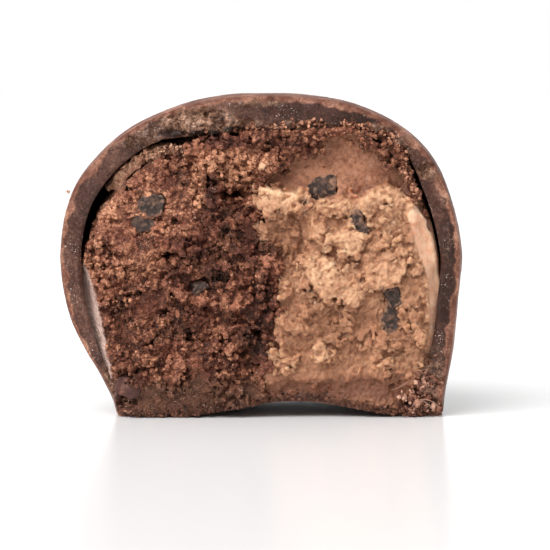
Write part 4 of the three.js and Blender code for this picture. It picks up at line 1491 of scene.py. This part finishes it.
def lipMaterial():
    m = Recipe("driedLip")
    streaks = m.ramp(m.noise(0.45, 6, 0.75), (0.37, 92, 58, 43), (0.5, 164, 118, 92), (0.62, 226, 184, 152))
    crumb = m.ramp(m.noise(0.4, 6, 0.8), (0.36, 70, 40, 28), (0.5, 122, 78, 58), (0.66, 180, 132, 104))
    base = m.mix(m.fit(m.attribute("below"), 0.3, 0.9), streaks, crumb)
    return m.finish(base, 0.6, m.bump(m.noise(0.2, 4, 0.75), 0.09), 0.3)


points, faceSets, marks = lipMesh()
piece = makePiece("liftedLip", points, faceSets, lipMaterial(), marks)
finishPiece(piece, "coating", "coating_lip")
print("lip made")


# Crumbs set on a list of places: each an uneven ball, turned, sized and dented its own way.
def crumbTree():
    tree = bpy.data.node_groups.new("crumbs", "GeometryNodeTree")
    sockets = {}
    for key, kind, value in (("Geometry", "Geometry", None), ("material", "Material", None), ("seed", "Int", 1),
                             ("dents", "Float", 0.7), ("dentSize", "Float", 0.0003)):
        socket = tree.interface.new_socket(key, in_out="INPUT", socket_type="NodeSocket" + kind)
        if value is not None:
            socket.default_value = value
        sockets[key] = socket.identifier
    tree.interface.new_socket("Geometry", in_out="OUTPUT", socket_type="NodeSocketGeometry")
    start = addNode(tree, "NodeGroupInput").outputs

    def add(kind, inputs=None, **settings):
        node = addNode(tree, kind, inputs, **settings)
        return [s for s in node.outputs if s.enabled][0]

    def maths(kind, a, b):
        return add("ShaderNodeMath", {0: a, 1: b}, operation=kind)

    def scaled(vector, much):
        return add("ShaderNodeVectorMath", {0: vector, "Scale": much}, operation="SCALE")

    def randomly(kind, low, high, shift):
        node = addNode(tree, "FunctionNodeRandomValue", {"Seed": maths("ADD", start["seed"], shift)}, data_type=kind)
        for socket, value in zip([s for s in node.inputs if s.enabled], (low, high)):
            socket.default_value = value
        return [s for s in node.outputs if s.enabled][0]
    ball = add("GeometryNodeMeshIcoSphere", {"Radius": 1, "Subdivisions": 2})
    size = add("GeometryNodeInputNamedAttribute", {"Name": "size"}, data_type="FLOAT")
    spots = add("GeometryNodeInstanceOnPoints", {
        "Points": start["Geometry"], "Instance": ball,
        "Rotation": randomly("FLOAT_VECTOR", (0, 0, 0), (6.28, 6.28, 6.28), 1),
        "Scale": scaled(randomly("FLOAT_VECTOR", (0.5, 0.5, 0.5), (1.4, 1.4, 1.4), 2), size)})
    tone = {"Geometry": spots, "Name": "tone", "Value": randomly("FLOAT", 0.0, 1.0, 3)}
    toned = add("GeometryNodeStoreNamedAttribute", tone, data_type="FLOAT", domain="INSTANCE")
    real = add("GeometryNodeRealizeInstances", {"Geometry": toned})
    waves = add("ShaderNodeTexNoise", {"Vector": add("GeometryNodeInputPosition"), "Detail": 2,
                                       "Scale": maths("DIVIDE", 1, start["dentSize"])})
    deep = maths("MULTIPLY", maths("SUBTRACT", waves, 0.55), start["dents"])
    push = scaled(add("GeometryNodeInputNormal"), maths("MULTIPLY", deep, start["dentSize"]))
    moved = add("GeometryNodeSetPosition", {"Geometry": real, "Offset": push})
    painted = add("GeometryNodeSetMaterial", {"Geometry": moved, "Material": start["material"]})
    addNode(tree, "NodeGroupOutput", {"Geometry": painted})
    return tree, sockets


crumbNodes, crumbSockets = crumbTree()


def crumbPiece(name, places, sizes, material, seed, dents):
    mesh = bpy.data.meshes.new(name)
    mesh.from_pydata([tuple(p) for p in (places + axisPlace) * mm], [], [])
    mesh.attributes.new("size", "FLOAT", "POINT").data.foreach_set("value", (sizes * mm).astype(np.float32))
    mesh.materials.append(material)
    piece = addObject(name, mesh)
    modifier = piece.modifiers.new("crumbs", "NODES")
    modifier.node_group = crumbNodes
    settings = {"material": material, "seed": seed, "dents": dents, "dentSize": float(sizes.mean() * 0.9 * mm)}
    for key, value in settings.items():
        modifier[crumbSockets[key]] = value
    applyModifiers(piece)
    finishPiece(piece, "brownie")
    print(name, len(piece.data.polygons), "faces")


# Random places along a line on the face, spread to either side of it and in depth.
def alongLine(line, count, wide, deep, seed):
    rng = np.random.default_rng(seed)
    p = np.array(line, float)
    length = np.concatenate([[0], np.cumsum(np.hypot(*np.diff(p, axis=0).T))])
    at = rng.uniform(0, length[-1], count)
    x = np.interp(at, length, p[:, 0]) + rng.normal(0, wide, count)
    z = np.interp(at, length, p[:, 1]) + rng.normal(0, wide, count) + biteFace["lift"]
    y = -facePlane(x, z) + rng.uniform(*deep, count)
    return np.stack([x, y, z], axis=1), rng


def crumbMaterial(name, dark, middle, pale):
    m = Recipe(name)
    shade = m.total((m.attribute("tone"), 0.6), (m.noise(0.3, 3, 0.7), 0.4))
    base = m.ramp(shade, (0.2, *dark), (0.5, *middle), (0.82, *pale))
    return m.finish(base, 0.7, m.bump(m.noise(0.15, 3, 0.7), 0.04), 0.3)


# Crumbs along lines on the face, left to right: the seam where the fillings meet the coating, the base's edge,
# the lower right corner and the lip's end. inset keeps them that far inside the dome's outline.
underEdge = [(x, float(archLift(x, -dome["biteFromAxis"])) + 0.2) for x in np.arange(-14.2, 17.5, 0.8)]
crumbKinds = {
    "seam": {
        "count": 2000, "size": (0.06, 0.2), "wide": 0.22, "deep": (-0.15, 1.2), "seed": 3, "inset": 0.2,
        "look": crumbMaterial("tanCrumb", (70, 40, 29), (138, 87, 65), (206, 150, 119)),
        "line": ((-5.5, 28.2), (-4.5, 28.2), (-2.5, 28.5), (0, 28.4), (2, 28.7), (5, 29), (8, 29), (10, 28.6),
                 (12, 28.1), (13, 27.6), (13.6, 26.7), (13.9, 25.6), (14.3, 24.2), (15, 22.6), (15.6, 21.2)),
    },
    "base": {
        "count": 700, "size": (0.05, 0.15), "wide": 0.3, "deep": (-0.4, 0.2), "seed": 5, "inset": 0.9,
        "look": crumbMaterial("baseCrumb", (46, 25, 17), (84, 49, 34), (128, 82, 60)),
        "line": underEdge,
    },
    "corner": {
        "count": 320, "size": (0.07, 0.27), "wide": 0.75, "deep": (-0.25, 0.4), "seed": 6, "inset": 0.2,
        "look": crumbMaterial("rustCrumb", (84, 48, 36), (142, 94, 74), (212, 166, 142)),
        "line": ((14.6, 1.0), (16.2, 1.6), (16.6, 3.2), (17.2, 4.6), (17.4, 6.0)),
    },
    "lipEnd": {
        "count": 190, "size": (0.08, 0.3), "wide": 0.2, "deep": (-0.3, 0.5), "seed": 7, "inset": 0.2,
        "look": crumbMaterial("paleCrumb", (84, 52, 38), (150, 104, 80), (216, 172, 142)),
        "line": ((-11.8, 25.2), (-10.5, 25.9), (-9.3, 26.3), (-8.1, 26.3), (-6.9, 26.0)),
    },
}
for kind, s in crumbKinds.items():
    places, rng = alongLine(s["line"], s["count"], s["wide"], s["deep"], s["seed"])
    sizes = rng.uniform(*s["size"], len(places))
    places[:, 2] = np.maximum(places[:, 2], archLift(places[:, 0], places[:, 1]) + 1.8 * sizes)
    keep = domeFields(*places.T)[0] < -s["inset"]
    crumbPiece(kind + "Crumbs", places[keep], sizes[keep], s["look"], s["seed"], 4.2)

# Single crumbs: place on the face, how far in front of it, size.
looseCrumbs = ((-18.95, 22.1, 0.1, 0.16), (-13.6, 0.4, -0.6, 0.3), (-13.2, 0.3, -0.4, 0.22), (-12.9, 0.3, -0.2, 0.2),
               (-13.8, 0.8, -0.7, 0.22), (-12.9, 4.1, 0.1, 0.25), (-4.6, 23.6, -0.2, 0.3), (-4.4, 20.9, -0.1, 0.22),
               (17.2, 3.6, 0.25, 0.4), (16.4, 5.2, 0.25, 0.35), (15.6, 1.2, 0.3, 0.45), (17.2, 0.9, 0.2, 0.4))
places = np.array([(x, -facePlane(x, z) - out, z + biteFace["lift"]) for x, z, out, size in looseCrumbs])
sizes = np.array([crumb[3] for crumb in looseCrumbs])
crumbPiece("looseCrumbs", places, sizes, crumbKinds["corner"]["look"], 9, 3.0)

# Thin curled shavings: places along each on the face, how far in front, width.
shavings = (
    (((12.9, 2.5), (13.7, 2.75), (14.6, 3.3)), 0.3, 0.1),
    (((15.0, 0.9), (15.9, 1.5), (16.9, 1.4), (17.7, 0.8)), 0.45, 0.22),
    (((16.0, 1.5), (16.7, 1.0), (17.2, 0.3)), 0.5, 0.14),
    (((-4.1, 30.1), (-3.6, 29.4), (-3.0, 28.6)), 0.06, 0.1),
    (((-3.1, 29.0), (-3.0, 28.6), (-3.3, 28.3)), 0.1, 0.14),
)


def shavingMesh():
    points, faces = [], []
    for n, (line, out, wide) in enumerate(shavings):
        path = splinePoints(line, 12)
        t = np.linspace(0, 1, len(path))
        x, z = path[:, 0], path[:, 1] + biteFace["lift"]
        y = -coatingFront(x, z) - out * (0.4 + 0.6 * np.sin(np.pi * t)) - 0.15 * np.sin(2.5 * np.pi * t + n)
        middle = np.stack([x, y, z], axis=1)
        ahead = np.gradient(middle, axis=0)
        ahead /= np.linalg.norm(ahead, axis=1)[:, None]
        turn = 0.6 + n + 1.6 * t
        side = np.stack([0 * t, np.cos(turn), np.sin(turn)], axis=1)
        side -= (side * ahead).sum(axis=1)[:, None] * ahead
        side /= np.linalg.norm(side, axis=1)[:, None]
        up = np.cross(ahead, side)
        half = (wide / 2 * np.sin(np.pi * np.clip(t, 0.03, 0.97)) ** 0.4)[:, None]
        thick = np.minimum(half, 0.05)
        start = 4 * sum(len(ring) for ring in points)
        corners = ((-1, 0), (0, 1), (1, 0), (0, -1))
        points.append(np.stack([middle + a * half * side + b * thick * up for a, b in corners], axis=1))
        for i, k in product(range(len(path) - 1), range(4)):
            a, b = start + 4 * i + k, start + 4 * i + (k + 1) % 4
            faces.append((a, b, b + 4, a + 4))
        last = start + 4 * (len(path) - 1)
        faces += [(start + 3, start + 2, start + 1, start), (last, last + 1, last + 2, last + 3)]
    return np.concatenate(points).reshape(-1, 3), [np.array(faces)]


points, faceSets = shavingMesh()
shavingLook = crumbMaterial("shaving", (150, 112, 94), (196, 162, 142), (232, 206, 188))
finishPiece(makePiece("shavings", points, faceSets, shavingLook, {}), "coating")
print("shavings made")

sizes = {"cadBox": [list(v) for v in cadBox], "fullBox": [list(v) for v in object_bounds()]}
